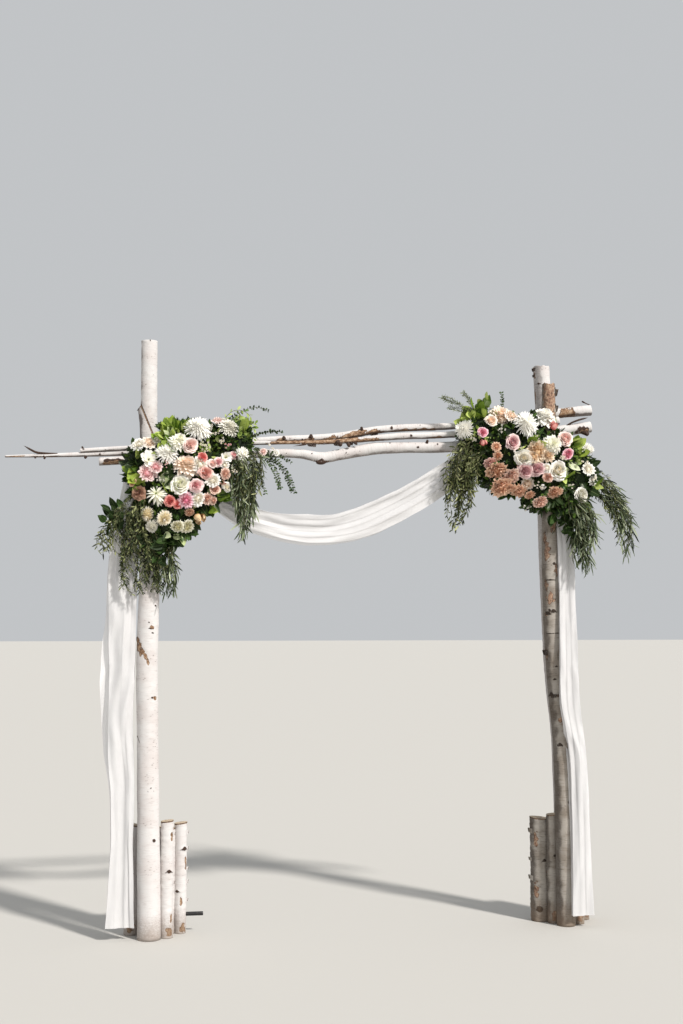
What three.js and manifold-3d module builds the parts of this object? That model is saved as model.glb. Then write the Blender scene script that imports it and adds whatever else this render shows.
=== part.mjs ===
import * as THREE from "three";
import { mergeVertices } from "three/addons/utils/BufferGeometryUtils.js";
import Module from "manifold-3d";

// A rustic ceremony archway of birch logs, with two flower clusters and three lengths of chiffon.
// Millimetres, +Z up. X runs along the beams, and the front, where the flowers face, is -Y.
// The arch is laid out about the point midway between its posts, then shifted so that the
// origin is the middle of the base of its outer box.

// Driving sizes
const SEAT_GAP = 0.3;
const NOTCH_SIDES = 12;
const FOOT_TRIM = 20;
const FOOT_BAR = { x0: -862, x1: -717, y: 43, z: 88, radius: 9.5 };
const BLOOM_SIDES = 10;
const TAIL_HEM = 60;

// A log's stations, foot or butt first: centre x, y, z and radius
const POSTS = {
  left_back_post: [
    [-973, 55, -FOOT_TRIM, 50],
    [-987, 54, 820, 48],
    [-996, 54, 1590, 44],
    [-1002, 54, 2370, 40.5],
    [-1004, 54, 2865, 39.5],
  ],
  left_front_post: [
    [-972, -60, -FOOT_TRIM, 56],
    [-987, -59, 830, 51],
    [-996, -58, 1300, 51],
    [-990, -58, 1700, 49],
    [-1000, -57, 2330, 42.5],
    [-1003, -57, 2590, 42],
  ],
  right_back_post: [
    [1086, 60, -FOOT_TRIM, 45],
    [1068, 60, 907, 43],
    [1040, 60, 1200, 43],
    [1013, 60, 1900, 41],
    [1005, 60, 2560, 41],
    [996, 60, 2790, 42],
  ],
  right_front_post: [
    [1052, -62, -FOOT_TRIM, 46],
    [1040, -62, 916, 44.5],
    [1018, -62, 1130, 43.5],
    [998, -62, 1500, 42.5],
    [994, -62, 1890, 41],
    [1002, -62, 2677, 36],
  ],
};

const BEAMS = {
  lower_beam: [
    [1233, -2, 2475, 28],
    [1053, -2, 2446, 28],
    [530, 0, 2361, 26.5],
    [243, 0, 2350, 27.5],
    [117, 0, 2343, 30],
    [-55, 0, 2311, 27.5],
    [-145, 0, 2294, 27.5],
    [-260, 0, 2310, 22.5],
    [-419, 0, 2309, 21],
    [-801, 0, 2285, 20.5],
    [-1239, 0, 2255, 19.5],
  ],
  top_beam: [
    [1240, 12, 2563, 27],
    [1075, 12, 2544, 25.5],
    [864, 12, 2514, 21.5],
    [531, 12, 2468, 17],
    [244, 12, 2450, 19],
    [117, 12, 2437, 19],
    [-55, 12, 2403, 20],
    [-200, 12, 2391, 17.5],
    [-409, 12, 2379, 16],
    [-753, 12, 2340, 15],
    [-1091, 4, 2302, 14],
    [-1458, 0, 2282, 9],
    [-1683, 0, 2273, 5.5],
  ],
  middle_beam: [
    [1064, -9, 2503, 20.5],
    [759, -10, 2450, 19],
    [459, -12, 2416, 17],
    [244, -14, 2406, 17],
    [-10, -15, 2379, 13.5],
    [-160, -15, 2368, 12],
    [-335, -15, 2363, 10],
    [-753, -15, 2346, 9.5],
    [-1139, -10, 2328, 8.5],
    [-1328, -8, 2312, 7.5],
  ],
};

// Stubs and side twigs left on the beams: the beam, then the twig's own stations
const TWIGS = [
  ["top_beam", [-1500, 0, 2284, 7], [-1550, -4, 2300, 4.5], [-1595, -8, 2324, 3]],
  ["top_beam", [1180, 10, 2565, 7], [1194, 8, 2600, 5]],
  ["top_beam", [-1130, 3, 2305, 8], [-1136, 1, 2278, 5]],
  ["lower_beam", [1130, -10, 2460, 12], [1170, -24, 2502, 7.5], [1222, -28, 2524, 7]],
  ["lower_beam", [-150, -4, 2280, 20], [-168, -8, 2256, 12]],
];

// Short logs that stand round the post feet: centre x, y, radius and height
const FOOT_LOGS = {
  left_foot_log_1: [-893, -39, 31, 548],
  left_foot_log_2: [-890.5, 42, 38, 505],
  left_foot_log_3: [-827, 46, 29.5, 525],
  left_foot_log_4: [-1057, 52, 36, 520],
  right_foot_log_1: [1006.5, -1.5, 31, 535],
  right_foot_log_2: [958, 58, 49, 510],
  right_foot_log_3: [1169, 62, 40, 525],
  right_foot_log_4: [1120.5, -28.5, 33, 490],
};

// Lengths of chiffon, gathered: centre x, y, z, half width across the fall, half depth
const CLOTHS = {
  swag: [
    [-905, -96, 2225, 30, 26],
    [-790, -82, 2140, 32, 28],
    [-658, -78, 2052, 36, 30],
    [-525, -72, 1985, 56, 33],
    [-380, -68, 1944, 66, 34],
    [-231, -66, 1929, 75, 34],
    [-90, -66, 1934, 74, 34],
    [50, -66, 1972, 77, 34],
    [200, -68, 2041, 78, 33],
    [330, -70, 2112, 76, 32],
    [450, -74, 2190, 68, 30],
    [600, -80, 2290, 46, 28],
    [740, -84, 2366, 34, 26],
  ],
  left_drape: [
    [-1072, -96, 2200, 34, 24],
    [-1108, -80, 1900, 62, 27],
    [-1117, -72, 1705, 73, 29],
    [-1122, -70, 1520, 75, 30],
    [-1132, -70, 1300, 82, 30],
    [-1136, -72, 1112, 80, 30],
    [-1125, -76, 880, 72, 29],
    [-1106, -80, 690, 56, 28],
    [-1104, -82, 420, 52, 28],
    [-1108, -84, TAIL_HEM, 66, 30],
  ],
  right_drape: [
    [1050, -100, 2180, 30, 22],
    [1074, -100, 1890, 40, 24],
    [1076, -112, 1590, 42, 24],
    [1074, -126, 1340, 45, 24],
    [1073, -130, 1088, 48, 24],
    [1100, -132, 850, 46, 24],
    [1110, -133, 520, 44, 24],
    [1114, -134, TAIL_HEM, 54, 25],
  ],
};

// Each cluster's dome, on which its blooms sit: centre and half sizes on X, Y and Z
const DOMES = {
  left_cluster: { centre: [-820, -80, 2185], half: [320, 120, 330] },
  right_cluster: { centre: [870, -80, 2275], half: [390, 120, 300] },
};

// Masses of foam and foliage that make each cluster's core: centre, then half sizes
const CORES = {
  left_cluster: [
    [-822, -84, 2190, 268, 102, 262],
    [-620, -78, 2352, 112, 84, 98],
    [-1035, -80, 2200, 96, 82, 190],
    [-905, -92, 1965, 132, 82, 108],
  ],
  right_cluster: [
    [820, -84, 2330, 262, 102, 176],
    [1000, -82, 2240, 178, 98, 200],
    [640, -80, 2400, 112, 82, 104],
    [1120, -80, 2215, 104, 78, 156],
    [930, -90, 2100, 128, 80, 100],
    [738, -88, 2196, 112, 82, 84],
  ],
};

// The largest blooms: cluster, centre x and z on the dome, radius
const BLOOMS = {
  left_spider_mum: ["left_cluster", -770, 2392, 58],
  left_upper_mum: ["left_cluster", -858, 2330, 38],
  left_middle_mum: ["left_cluster", -916, 2273, 38],
  left_lower_mum: ["left_cluster", -957, 2081, 41],
  left_dahlia: ["left_cluster", -820, 2220, 54],
  left_white_rose: ["left_cluster", -850, 2126, 38],
  left_cream_rose: ["left_cluster", -924, 1967, 35],
  left_pink_rose: ["left_cluster", -1004, 2180, 36],
  right_spider_mum: ["right_cluster", 844, 2449, 55],
  right_white_lily: ["right_cluster", 954, 2500, 46],
  right_middle_mum: ["right_cluster", 976, 2355, 41],
  right_ruffled_rose: ["right_cluster", 893, 2316, 43],
  right_white_rose: ["right_cluster", 998, 2222, 45],
  right_mauve_rose: ["right_cluster", 901, 2228, 34],
  right_peach_dahlia: ["right_cluster", 726, 2494, 38],
  right_peach_rose: ["right_cluster", 722, 2156, 37],
};

// Greenery that hangs or sprays from a cluster: centre x, y, z, half width, half depth
const GREENS = {
  left_outer_trail: [
    [-1020, -128, 2060, 60, 34],
    [-1050, -134, 1960, 108, 40],
    [-1075, -134, 1850, 122, 42],
    [-1075, -132, 1740, 96, 34],
    [-1080, -130, 1650, 52, 20],
  ],
  left_lower_trail: [
    [-890, -140, 1930, 60, 34],
    [-880, -138, 1850, 62, 32],
    [-886, -134, 1775, 34, 20],
  ],
  left_beam_trail: [
    [-612, -128, 2290, 46, 26],
    [-560, -138, 2180, 74, 28],
    [-545, -140, 2030, 72, 27],
    [-535, -138, 1900, 46, 22],
    [-522, -136, 1840, 20, 14],
  ],
  left_upper_spray: [
    [-620, -96, 2410, 40, 24],
    [-520, -92, 2470, 62, 22],
    [-425, -88, 2520, 34, 16],
    [-312, -84, 2538, 14, 10],
  ],
  left_lower_spray: [
    [-560, -84, 2330, 36, 22],
    [-470, -80, 2280, 44, 20],
    [-385, -78, 2200, 38, 18],
    [-335, -76, 2130, 16, 10],
  ],
  right_inner_trail: [
    [610, -128, 2350, 44, 26],
    [545, -138, 2260, 66, 28],
    [520, -140, 2120, 78, 28],
    [502, -138, 2000, 52, 22],
    [492, -136, 1925, 22, 14],
  ],
  right_outer_trail: [
    [1160, -96, 2230, 44, 24],
    [1250, -96, 2150, 62, 26],
    [1320, -94, 2020, 66, 26],
    [1360, -92, 1890, 44, 20],
    [1372, -90, 1795, 18, 12],
  ],
  right_lower_trail: [
    [1060, -146, 2120, 66, 28],
    [1090, -178, 2010, 84, 28],
    [1120, -184, 1890, 62, 24],
    [1140, -182, 1770, 30, 14],
  ],
  right_upper_spray: [
    [690, -96, 2440, 40, 24],
    [620, -94, 2520, 70, 24],
    [540, -90, 2585, 44, 18],
    [462, -86, 2618, 16, 10],
  ],
};

// Finishes
const BARK = { color: "#e9e2d8", roughness: 0.85 };
const GREY_BARK = { color: "#b9ada0", roughness: 0.9 };
const CHIFFON = { color: "#f6f3ee", roughness: 0.95 };
const FOLIAGE = { color: "#4c6a35", roughness: 0.8 };
const SAGE = { color: "#8a9a7e", roughness: 0.8 };
const WHITE_PETAL = { color: "#fbf8ee", roughness: 0.7 };
const PINK_PETAL = { color: "#d98e91", roughness: 0.7 };
const PEACH_PETAL = { color: "#efc6a0", roughness: 0.7 };
const BLACK_STEEL = { color: "#1c1c1e", roughness: 0.5, metalness: 0.7 };

const wasm = await Module();
wasm.setup();

// A closed three.js geometry as a solid that can be cut and joined
function solidOf(geometry) {
  const bare = geometry.index ? geometry.toNonIndexed() : geometry.clone();
  bare.deleteAttribute("normal");
  bare.deleteAttribute("uv");
  const merged = mergeVertices(bare, 1e-3);
  return new wasm.Manifold(
    new wasm.Mesh({
      numProp: 3,
      vertProperties: merged.attributes.position.array,
      triVerts: new Uint32Array(merged.index.array),
    }),
  );
}

function geometryOf(solid) {
  const mesh = solid.getMesh();
  const geometry = new THREE.BufferGeometry();
  geometry.setAttribute("position", new THREE.BufferAttribute(mesh.vertProperties, 3));
  geometry.setIndex(new THREE.BufferAttribute(mesh.triVerts, 1));
  return geometry;
}

// A round or flattened body along a curve through the stations. A station is centre x, y, z,
// half width in the XZ plane and, if it isn't round, half depth on Y.
function sweep(stations, { sides = NOTCH_SIDES, steps, grow = 0, ripple = 0, lobes = 0 } = {}) {
  const curve = new THREE.CatmullRomCurve3(stations.map(([x, y, z]) => new THREE.Vector3(x, y, z)));
  const spans = stations.length - 1;
  const geometry = new THREE.CylinderGeometry(1, 1, 1, sides, steps ?? 2 * spans);
  const position = geometry.attributes.position;
  const depthAxis = new THREE.Vector3(0, 1, 0);
  const tangent = new THREE.Vector3();
  const across = new THREE.Vector3();
  const facing = new THREE.Vector3();
  for (let i = 0; i < position.count; i++) {
    const along = position.getY(i) + 0.5;
    const span = Math.min(Math.floor(along * spans), spans - 1);
    const part = along * spans - span;
    const [from, to] = [stations[span], stations[span + 1]];
    const wide = THREE.MathUtils.lerp(from[3], to[3], part) + grow;
    const deep = THREE.MathUtils.lerp(from[4] ?? from[3], to[4] ?? to[3], part) + grow;
    const angle = Math.atan2(position.getZ(i), position.getX(i));
    const fold = 1 + ripple * Math.cos(lobes * angle);
    curve.getTangent(along, tangent);
    across.crossVectors(depthAxis, tangent).normalize();
    facing.crossVectors(across, tangent);
    const point = curve.getPoint(along);
    point.addScaledVector(tangent, along === 0 ? -grow : along === 1 ? grow : 0);
    point.addScaledVector(across, position.getX(i) * wide * fold);
    point.addScaledVector(facing, position.getZ(i) * deep * fold);
    position.setXYZ(i, point.x, point.y, point.z);
  }
  return solidOf(geometry);
}

// A soft mass: an ellipsoid with a few shallow swellings
function mass([x, y, z, halfX, halfY, halfZ], detail = 3) {
  const geometry = new THREE.IcosahedronGeometry(1, detail);
  const position = geometry.attributes.position;
  const swell = 0.035;
  for (let i = 0; i < position.count; i++) {
    const [u, v, w] = [position.getX(i), position.getY(i), position.getZ(i)];
    const scale = 1 + swell * Math.sin(5 * u + x) * Math.cos(4 * v) * Math.sin(6 * w + z);
    position.setXYZ(i, x + halfX * u * scale, y + halfY * v * scale, z + halfZ * w * scale);
  }
  return solidOf(geometry);
}

function join(solids) {
  return solids.reduce((whole, next) => whole.add(next));
}

function cut(solid, tools) {
  return tools.reduce((left, tool) => left.subtract(tool), solid);
}

// The largest body of a solid, when a cut has left small loose scraps
function largest(solid) {
  return solid.decompose().reduce((best, next) => (next.volume() > best.volume() ? next : best));
}

// The point of a cluster's dome in front of x, z, and the dome's outward direction there
function domeSeat({ centre, half }, x, z) {
  const u = (x - centre[0]) / half[0];
  const w = (z - centre[2]) / half[2];
  const v = -Math.sqrt(Math.max(0.04, 1 - u * u - w * w));
  const point = new THREE.Vector3(x, centre[1] + half[1] * v, z);
  const outward = new THREE.Vector3(u / half[0], v / half[1], w / half[2]).normalize();
  return { point, outward };
}

// A bloom as a cup of petals on a short calyx, its axis on +Y and its rim's plane at y = 0
function bloomGeometry(radius, grow = 0) {
  const calyx = 0.2 * radius;
  const profile = [
    [0, -0.98 * radius - grow],
    [calyx + grow, -0.98 * radius - grow],
    [calyx + grow, -0.62 * radius - grow],
    [0.72 * radius + grow, -0.42 * radius - grow],
    [radius + grow, -0.02 * radius],
    [0.82 * radius + grow, 0.16 * radius + grow],
    [0, 0.26 * radius + grow],
  ];
  return new THREE.LatheGeometry(profile.map(([r, y]) => new THREE.Vector2(r, y)), BLOOM_SIDES);
}

function bloomMatrix([cluster, x, z]) {
  const { point, outward } = domeSeat(DOMES[cluster], x, z);
  const turn = new THREE.Quaternion().setFromUnitVectors(new THREE.Vector3(0, 1, 0), outward);
  return new THREE.Matrix4().compose(point, turn, new THREE.Vector3(1, 1, 1));
}

function grownSweeps(table) {
  return Object.values(table).map((stations) => sweep(stations, { grow: SEAT_GAP }));
}

// Posts, sawn level at the ground. The left front one ends in a slanted cut.
const ground = solidOf(new THREE.BoxGeometry(3000, 600, 200).translate(0, 0, -100));
const slant = new THREE.Shape([
  new THREE.Vector2(-1060, 2600),
  new THREE.Vector2(-944, 2290),
  new THREE.Vector2(-900, 2290),
  new THREE.Vector2(-900, 2700),
  new THREE.Vector2(-1060, 2700),
]);
const slantTool = solidOf(
  new THREE.ExtrudeGeometry(slant, { depth: 160, bevelEnabled: false })
    .rotateX(Math.PI / 2)
    .translate(0, 20, 0),
);
const posts = {};
for (const [name, stations] of Object.entries(POSTS)) {
  posts[name] = cut(sweep(stations), [ground]);
}
posts.left_front_post = cut(posts.left_front_post, [slantTool]);

// Beams, notched where they pass between the posts and where they cross
const grownPosts = grownSweeps(POSTS);
const beams = {};
const grownBeams = [];
for (const [name, stations] of Object.entries(BEAMS)) {
  const twigs = TWIGS.filter(([beam]) => beam === name).map(([, ...path]) => path);
  const grown = [stations, ...twigs].map((path) => sweep(path, { grow: SEAT_GAP, sides: 12 }));
  const whole = [sweep(stations), ...twigs.map((path) => sweep(path, { sides: 6 }))];
  beams[name] = largest(cut(join(whole), [...grownPosts, ...grownBeams]));
  grownBeams.push(...grown);
}

// Foot logs, shaved where they stand against a post or each other
const footLogs = {};
const grownFootLogs = [];
for (const [name, [x, y, radius, height]] of Object.entries(FOOT_LOGS)) {
  const path = [
    [x, y, 0, radius],
    [x, y, height, radius],
  ];
  footLogs[name] = cut(sweep(path, { steps: 1 }), [...grownPosts, ...grownFootLogs]);
  grownFootLogs.push(sweep(path, { steps: 1, grow: SEAT_GAP }));
}
const barLength = FOOT_BAR.x1 - FOOT_BAR.x0;
function barGeometry(radius, length) {
  return new THREE.CylinderGeometry(radius, radius, length, NOTCH_SIDES).rotateZ(Math.PI / 2);
}
const barCentre = [(FOOT_BAR.x0 + FOOT_BAR.x1) / 2, FOOT_BAR.y, FOOT_BAR.z];
const barHole = solidOf(
  barGeometry(FOOT_BAR.radius + SEAT_GAP, barLength + 2 * SEAT_GAP).translate(...barCentre),
);
for (const name of ["left_foot_log_2", "left_foot_log_3"]) {
  footLogs[name] = cut(footLogs[name], [barHole]);
}

// Chiffon, laid against the posts
const wood = [...grownPosts, ...grownBeams, ...grownFootLogs];
const folds = { sides: 14, ripple: 0.06, lobes: 7 };
const cloths = {};
for (const [name, stations] of Object.entries(CLOTHS)) {
  cloths[name] = largest(cut(sweep(stations, folds), wood));
}
const grownCloths = Object.values(CLOTHS).map((stations) =>
  sweep(stations, { ...folds, grow: SEAT_GAP }),
);

// Blooms, each in its own socket in the core
const blooms = {};
const grownBlooms = [];
for (const [name, spec] of Object.entries(BLOOMS)) {
  const matrix = bloomMatrix(spec);
  blooms[name] = { geometry: bloomGeometry(spec[3]), matrix };
  grownBlooms.push(solidOf(bloomGeometry(spec[3], SEAT_GAP).applyMatrix4(matrix)));
}

// Cores of foam and short foliage, then the greenery that hangs from them
const cores = {};
const grownCores = [];
for (const [name, masses] of Object.entries(CORES)) {
  const whole = join(masses.map((spec) => mass(spec)));
  cores[name] = largest(cut(whole, [...wood, ...grownCloths, ...grownBlooms]));
  grownCores.push(
    ...masses.map(([x, y, z, ...half]) => mass([x, y, z, ...half.map((h) => h + 3 * SEAT_GAP)])),
  );
}
const greens = {};
for (const [name, stations] of Object.entries(GREENS)) {
  const whole = sweep(stations, { sides: 10, ripple: 0.05, lobes: 5 });
  greens[name] = largest(cut(whole, [...wood, ...grownCloths, ...grownBlooms, ...grownCores]));
}

// Scene graph
function group(name, parent) {
  const made = new THREE.Group();
  made.name = name;
  parent.add(made);
  return made;
}

function addSolid(parent, name, solid, [x, y, z], finish) {
  const geometry = geometryOf(solid).translate(-x, -y, -z);
  const mesh = new THREE.Mesh(geometry, new THREE.MeshStandardMaterial(finish));
  mesh.name = name;
  mesh.position.set(x, y, z);
  parent.add(mesh);
}

function petalFinish(name) {
  if (/pink|mauve/.test(name)) return PINK_PETAL;
  return /peach|dahlia|ruffled/.test(name) ? PEACH_PETAL : WHITE_PETAL;
}

const layout = new THREE.Group();
const timber = group("timber", layout);
for (const [name, solid] of Object.entries(posts)) {
  addSolid(timber, name, solid, POSTS[name][0], name.startsWith("right") ? GREY_BARK : BARK);
}
for (const [name, solid] of Object.entries(beams)) {
  addSolid(timber, name, solid, BEAMS[name][0], BARK);
}
for (const [name, solid] of Object.entries(footLogs)) {
  const [x, y] = FOOT_LOGS[name];
  addSolid(timber, name, solid, [x, y, 0], BARK);
}
const bar = new THREE.Mesh(
  barGeometry(FOOT_BAR.radius, barLength),
  new THREE.MeshStandardMaterial(BLACK_STEEL),
);
bar.name = "left_foot_bar";
bar.position.set(...barCentre);
timber.add(bar);

const drapery = group("drapery", layout);
for (const [name, solid] of Object.entries(cloths)) {
  addSolid(drapery, name, solid, CLOTHS[name][0], CHIFFON);
}

const flowers = group("flowers", layout);
for (const [name, solid] of Object.entries(cores)) {
  addSolid(flowers, name + "_core", solid, DOMES[name].centre, FOLIAGE);
}
for (const [name, solid] of Object.entries(greens)) {
  addSolid(flowers, name, solid, GREENS[name][0], SAGE);
}
for (const [name, { geometry, matrix }] of Object.entries(blooms)) {
  const bloom = new THREE.Mesh(geometry, new THREE.MeshStandardMaterial(petalFinish(name)));
  bloom.name = name;
  bloom.applyMatrix4(matrix);
  flowers.add(bloom);
}

// The origin goes to the middle of the base of the outer box
const box = new THREE.Box3().setFromObject(layout, true);
layout.position.set(-(box.min.x + box.max.x) / 2, -(box.min.y + box.max.y) / 2, -box.min.z);

const archway = new THREE.Group();
archway.name = "floral_archway";
archway.add(layout);

export default archway;
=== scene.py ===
# %% [markdown]
# # A birch-log archway with flowers and chiffon
# The real arch is four birch poles, three crossing poles and two rings of short logs, dressed with
# two flower clusters and three lengths of chiffon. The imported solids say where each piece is.
# This script gives each one its own surface, worked out with numpy in the arch's own millimetres,
# and moves the result into the shared frame.

import bmesh
import bpy
import numpy as np
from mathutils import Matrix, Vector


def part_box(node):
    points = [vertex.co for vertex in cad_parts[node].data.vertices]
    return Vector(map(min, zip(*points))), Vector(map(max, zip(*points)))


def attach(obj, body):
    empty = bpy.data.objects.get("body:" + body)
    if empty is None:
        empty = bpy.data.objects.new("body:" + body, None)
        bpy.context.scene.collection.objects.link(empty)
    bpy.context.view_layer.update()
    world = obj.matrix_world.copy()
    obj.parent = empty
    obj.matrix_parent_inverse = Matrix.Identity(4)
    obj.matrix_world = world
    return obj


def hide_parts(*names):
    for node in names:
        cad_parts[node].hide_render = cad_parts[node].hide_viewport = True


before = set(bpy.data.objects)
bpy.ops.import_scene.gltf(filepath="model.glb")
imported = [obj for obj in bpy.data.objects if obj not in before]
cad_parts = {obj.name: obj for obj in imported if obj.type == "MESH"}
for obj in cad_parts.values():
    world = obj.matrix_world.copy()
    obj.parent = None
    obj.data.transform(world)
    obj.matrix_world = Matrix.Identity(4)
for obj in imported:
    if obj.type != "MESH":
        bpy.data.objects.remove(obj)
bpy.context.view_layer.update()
MM = 0.001
BAR_MIDDLE = np.array([-789.5, 43.0, 88.0])
bar_low, bar_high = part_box("left_foot_bar")
SHIFT = (np.array(bar_low) + np.array(bar_high)) / 2 - BAR_MIDDLE * MM
print("the arch's own origin lies at", SHIFT.round(4))

# %% [markdown]
# ## Camera
# The photograph was taken from standing height, a little left of the arch's middle, with a lens
# that is slightly long. The camera stands there and tilts up by under five degrees, so the posts
# keep their slight lean outwards towards the ground.

# %% Camera
EYE = np.array([-946.3, -6360.2, 1500.0])
LOOK_UP, LOOK_RIGHT = 4.66, 8.0
camera_data = bpy.data.cameras.new("eye_level")
camera_data.lens = 45.70
camera_data.sensor_width = 36.0
camera = bpy.data.objects.new("eye_level", camera_data)
camera.location = EYE * MM + SHIFT
camera.rotation_euler = np.radians([90 + LOOK_UP, 0, -LOOK_RIGHT])
bpy.context.scene.collection.objects.link(camera)
bpy.context.scene.camera = camera
print("camera at", [round(x, 3) for x in camera.location])

# %% [markdown]
# ## Whole arrays at a time
# A coordinate that varies only along a row or only down a column is kept as a thin array, and numpy
# spreads it over the grid when they are put together. Colours are written as on a web page, and
# a sum of sine waves gives each surface its small irregularities.

# %% Small helpers
UP = np.array([0.0, 0.0, 1.0])
DEEP = np.array([0.0, 1.0, 0.0])


def stacked(*parts):
    """Points from coordinates that vary along some axes of a grid, each spread over all of it."""
    return np.stack(np.broadcast_arrays(*parts), -1)


def sampled(at, ruler, *arrays):
    """The rows of each array, read off at some places between those of a rising ruler."""
    return [np.stack([np.interp(at, ruler, column) for column in array.T], -1) for array in arrays]


def circle(sides):
    """Even angles once round, the last one short of the first."""
    return np.arange(sides) / sides * 2 * np.pi


def dome(reach, rows, columns):
    """The grid of a unit sphere, from its top down to an angle of reach from there."""
    polar = np.linspace(0, reach, rows)[:, None]
    angle = circle(columns)
    return stacked(np.sin(polar) * np.cos(angle), np.sin(polar) * np.sin(angle), np.cos(polar))


def unit(v):
    """Each vector divided by its length."""
    return v / np.maximum(np.linalg.norm(v, axis=-1, keepdims=True), 1e-9)


def linear(code):
    """A colour written as sRGB hex, in the linear numbers that Blender's shaders use."""
    srgb = np.array([int(code[i:i + 2], 16) for i in (1, 3, 5)]) / 255
    low, high = srgb / 12.92, ((srgb + 0.055) / 1.055) ** 2.4
    return np.append(np.where(srgb <= 0.04045, low, high), 1.0)


def blend(a, b, t):
    """a where t is 0, b where t is 1, and even steps between them."""
    t = np.clip(t, 0, 1)
    return a + (b - a) * t


def drift(points, size, seed, layers=3):
    """Smooth random values of about -1 to 1: sums of sine waves, each size long in a way of its own,
    with half the length and half the weight in each further layer."""
    rng = np.random.default_rng(seed)
    total = np.zeros(points.shape[:-1])
    for layer in range(layers):
        ways = unit(rng.normal(size=(6, 3))) * 2 * np.pi / size * 2 ** layer
        turns = points @ ways.T + rng.uniform(0, 2 * np.pi, 6)
        total += np.sin(turns).mean(-1) * 1.6 / 2 ** layer
    return total


# %% [markdown]
# ## Surfaces from arrays
# Every piece here is a stack of grids: bark round a log, a petal, a leaf. A grid is an array of
# points, rows along and columns across, so numpy can bend a thousand leaves at once. These helpers
# turn such arrays into quads and put them in one mesh, with values for each point that the
# materials read, such as a petal's colour.

# %% Grids and meshes
MARKS = {"tint": ("FLOAT_COLOR", "color"), "place": ("FLOAT_VECTOR", "vector"),
         "scar": ("FLOAT", "value"), "peel": ("FLOAT", "value"), "grime": ("FLOAT", "value")}


def grid(points, wrap=False, slot=0, **marks):
    """A stack of grids, (..., nu, nv, 3), as quads that face along du x dv. wrap joins the last
    column to the first. Each mark has a last axis of its own and spreads over the stack."""
    nu, nv = points.shape[-3:-1]
    near = np.arange(nv if wrap else nv - 1)
    far = (near + 1) % nv
    start = np.arange(nu - 1)[:, None] * nv
    quad = np.stack([start + near, start + nv + near, start + nv + far, start + far], -1)
    stack = points.size // (3 * nu * nv)
    first = np.arange(stack)[:, None, None] * nu * nv
    slots = np.broadcast_to(slot, (stack,) + quad.shape[:2])
    made = {"points": points.reshape(-1, 3), "slots": slots.reshape(-1),
            "quads": (first + quad.reshape(-1, 4)).reshape(-1, 4)}
    for name, value in marks.items():
        value = np.asarray(value, float)
        value = np.broadcast_to(value, points.shape[:-1] + value.shape[-1:])
        made[name] = value.reshape(-1, value.shape[-1])
    return made


def join(surfaces):
    """Several surfaces as one: rows end to end, with each quad's corners counted on."""
    starts = np.cumsum([0] + [len(s["points"]) for s in surfaces])
    made = {k: np.concatenate([s[k] for s in surfaces]) for k in surfaces[0] if k != "quads"}
    made["quads"] = np.concatenate([s["quads"] + n for s, n in zip(surfaces, starts)])
    return made


def weld(mesh):
    """Merges the points that meet at a pole, so that a shape which ends there is closed."""
    whole = bmesh.new()
    whole.from_mesh(mesh)
    bmesh.ops.remove_doubles(whole, verts=whole.verts, dist=1e-7)
    whole.to_mesh(mesh)
    whole.free()


def piece(name, surfaces, materials, replaces=()):
    """One mesh object from surfaces in the arch's millimetres, riding on the arch."""
    whole = join(surfaces)
    count, faces = len(whole["points"]), len(whole["quads"])
    mesh = bpy.data.meshes.new(name)
    mesh.vertices.add(count)
    mesh.vertices.foreach_set("co", (whole["points"] * MM + SHIFT).astype(np.float32).ravel())
    mesh.loops.add(4 * faces)
    mesh.loops.foreach_set("vertex_index", whole["quads"].astype(np.int32).ravel())
    mesh.polygons.add(faces)
    mesh.polygons.foreach_set("loop_start", np.arange(faces, dtype=np.int32) * 4)
    mesh.polygons.foreach_set("material_index", whole["slots"].astype(np.int32))
    for mark, (kind, field) in MARKS.items():
        if mark in whole:
            attribute = mesh.attributes.new(mark, kind, "POINT")
            attribute.data.foreach_set(field, whole[mark].astype(np.float32).ravel())
    mesh.update(calc_edges=True)
    mesh.validate()
    weld(mesh)
    mesh.polygons.foreach_set("use_smooth", np.ones(len(mesh.polygons), bool))
    for material in materials:
        mesh.materials.append(material)
    made = bpy.data.objects.new(name, mesh)
    bpy.context.scene.collection.objects.link(made)
    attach(made, "root")
    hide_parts(*replaces)
    print(f"{name}: {2 * faces} triangles")
    return made


# %% [markdown]
# ## Materials from nodes
# A finish is a small tree of nodes: patterns mix its colours and drive its bump. One helper adds a
# node with its settings and links, and another lays colours over one another, as a painter would.
# Pattern sizes are written in millimetres and turned to scales.

# %% Node helpers
SMOOTH = dict(interpolation_type="SMOOTHSTEP")
COLOURS = dict(out=2, data_type="RGBA")


def per(size):
    """The scale of a pattern whose features are size millimetres long, on coordinates in metres."""
    return 1 / (size * MM)


def fill(tree, made, inputs):
    """Links each input of a node whose value is a socket, and sets the others. Text is a colour."""
    for key, value in dict(inputs).items():
        if isinstance(value, bpy.types.NodeSocket):
            tree.links.new(value, made.inputs[key])
        else:
            made.inputs[key].default_value = linear(value) if isinstance(value, str) else value


def node(tree, kind, inputs=(), out=0, **settings):
    """Adds a node with its settings and inputs, and gives back one of its outputs."""
    made = tree.nodes.new("ShaderNode" + kind)
    for key, value in settings.items():
        setattr(made, key, value)
    fill(tree, made, inputs)
    return made.outputs[out]


def layered(tree, colour, layers):
    """Lays colours over a first one. A layer is (pattern, low, high, top, colour): none of it where
    the pattern is at low, the share top of it at high, and a smooth rise between them."""
    for pattern, low, high, top, over in layers:
        reach = {"Value": pattern, "From Min": low, "From Max": high, "To Max": top}
        share = node(tree, "MapRange", reach, **SMOOTH)
        colour = node(tree, "Mix", {0: share, 6: colour, 7: over}, **COLOURS)
    return colour


def finish(name):
    """A new material with its tree, its Principled shader and its output."""
    material = bpy.data.materials.new(name)
    material.use_nodes = True
    tree = material.node_tree
    return material, tree, tree.nodes["Principled BSDF"], tree.nodes["Material Output"]


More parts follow.
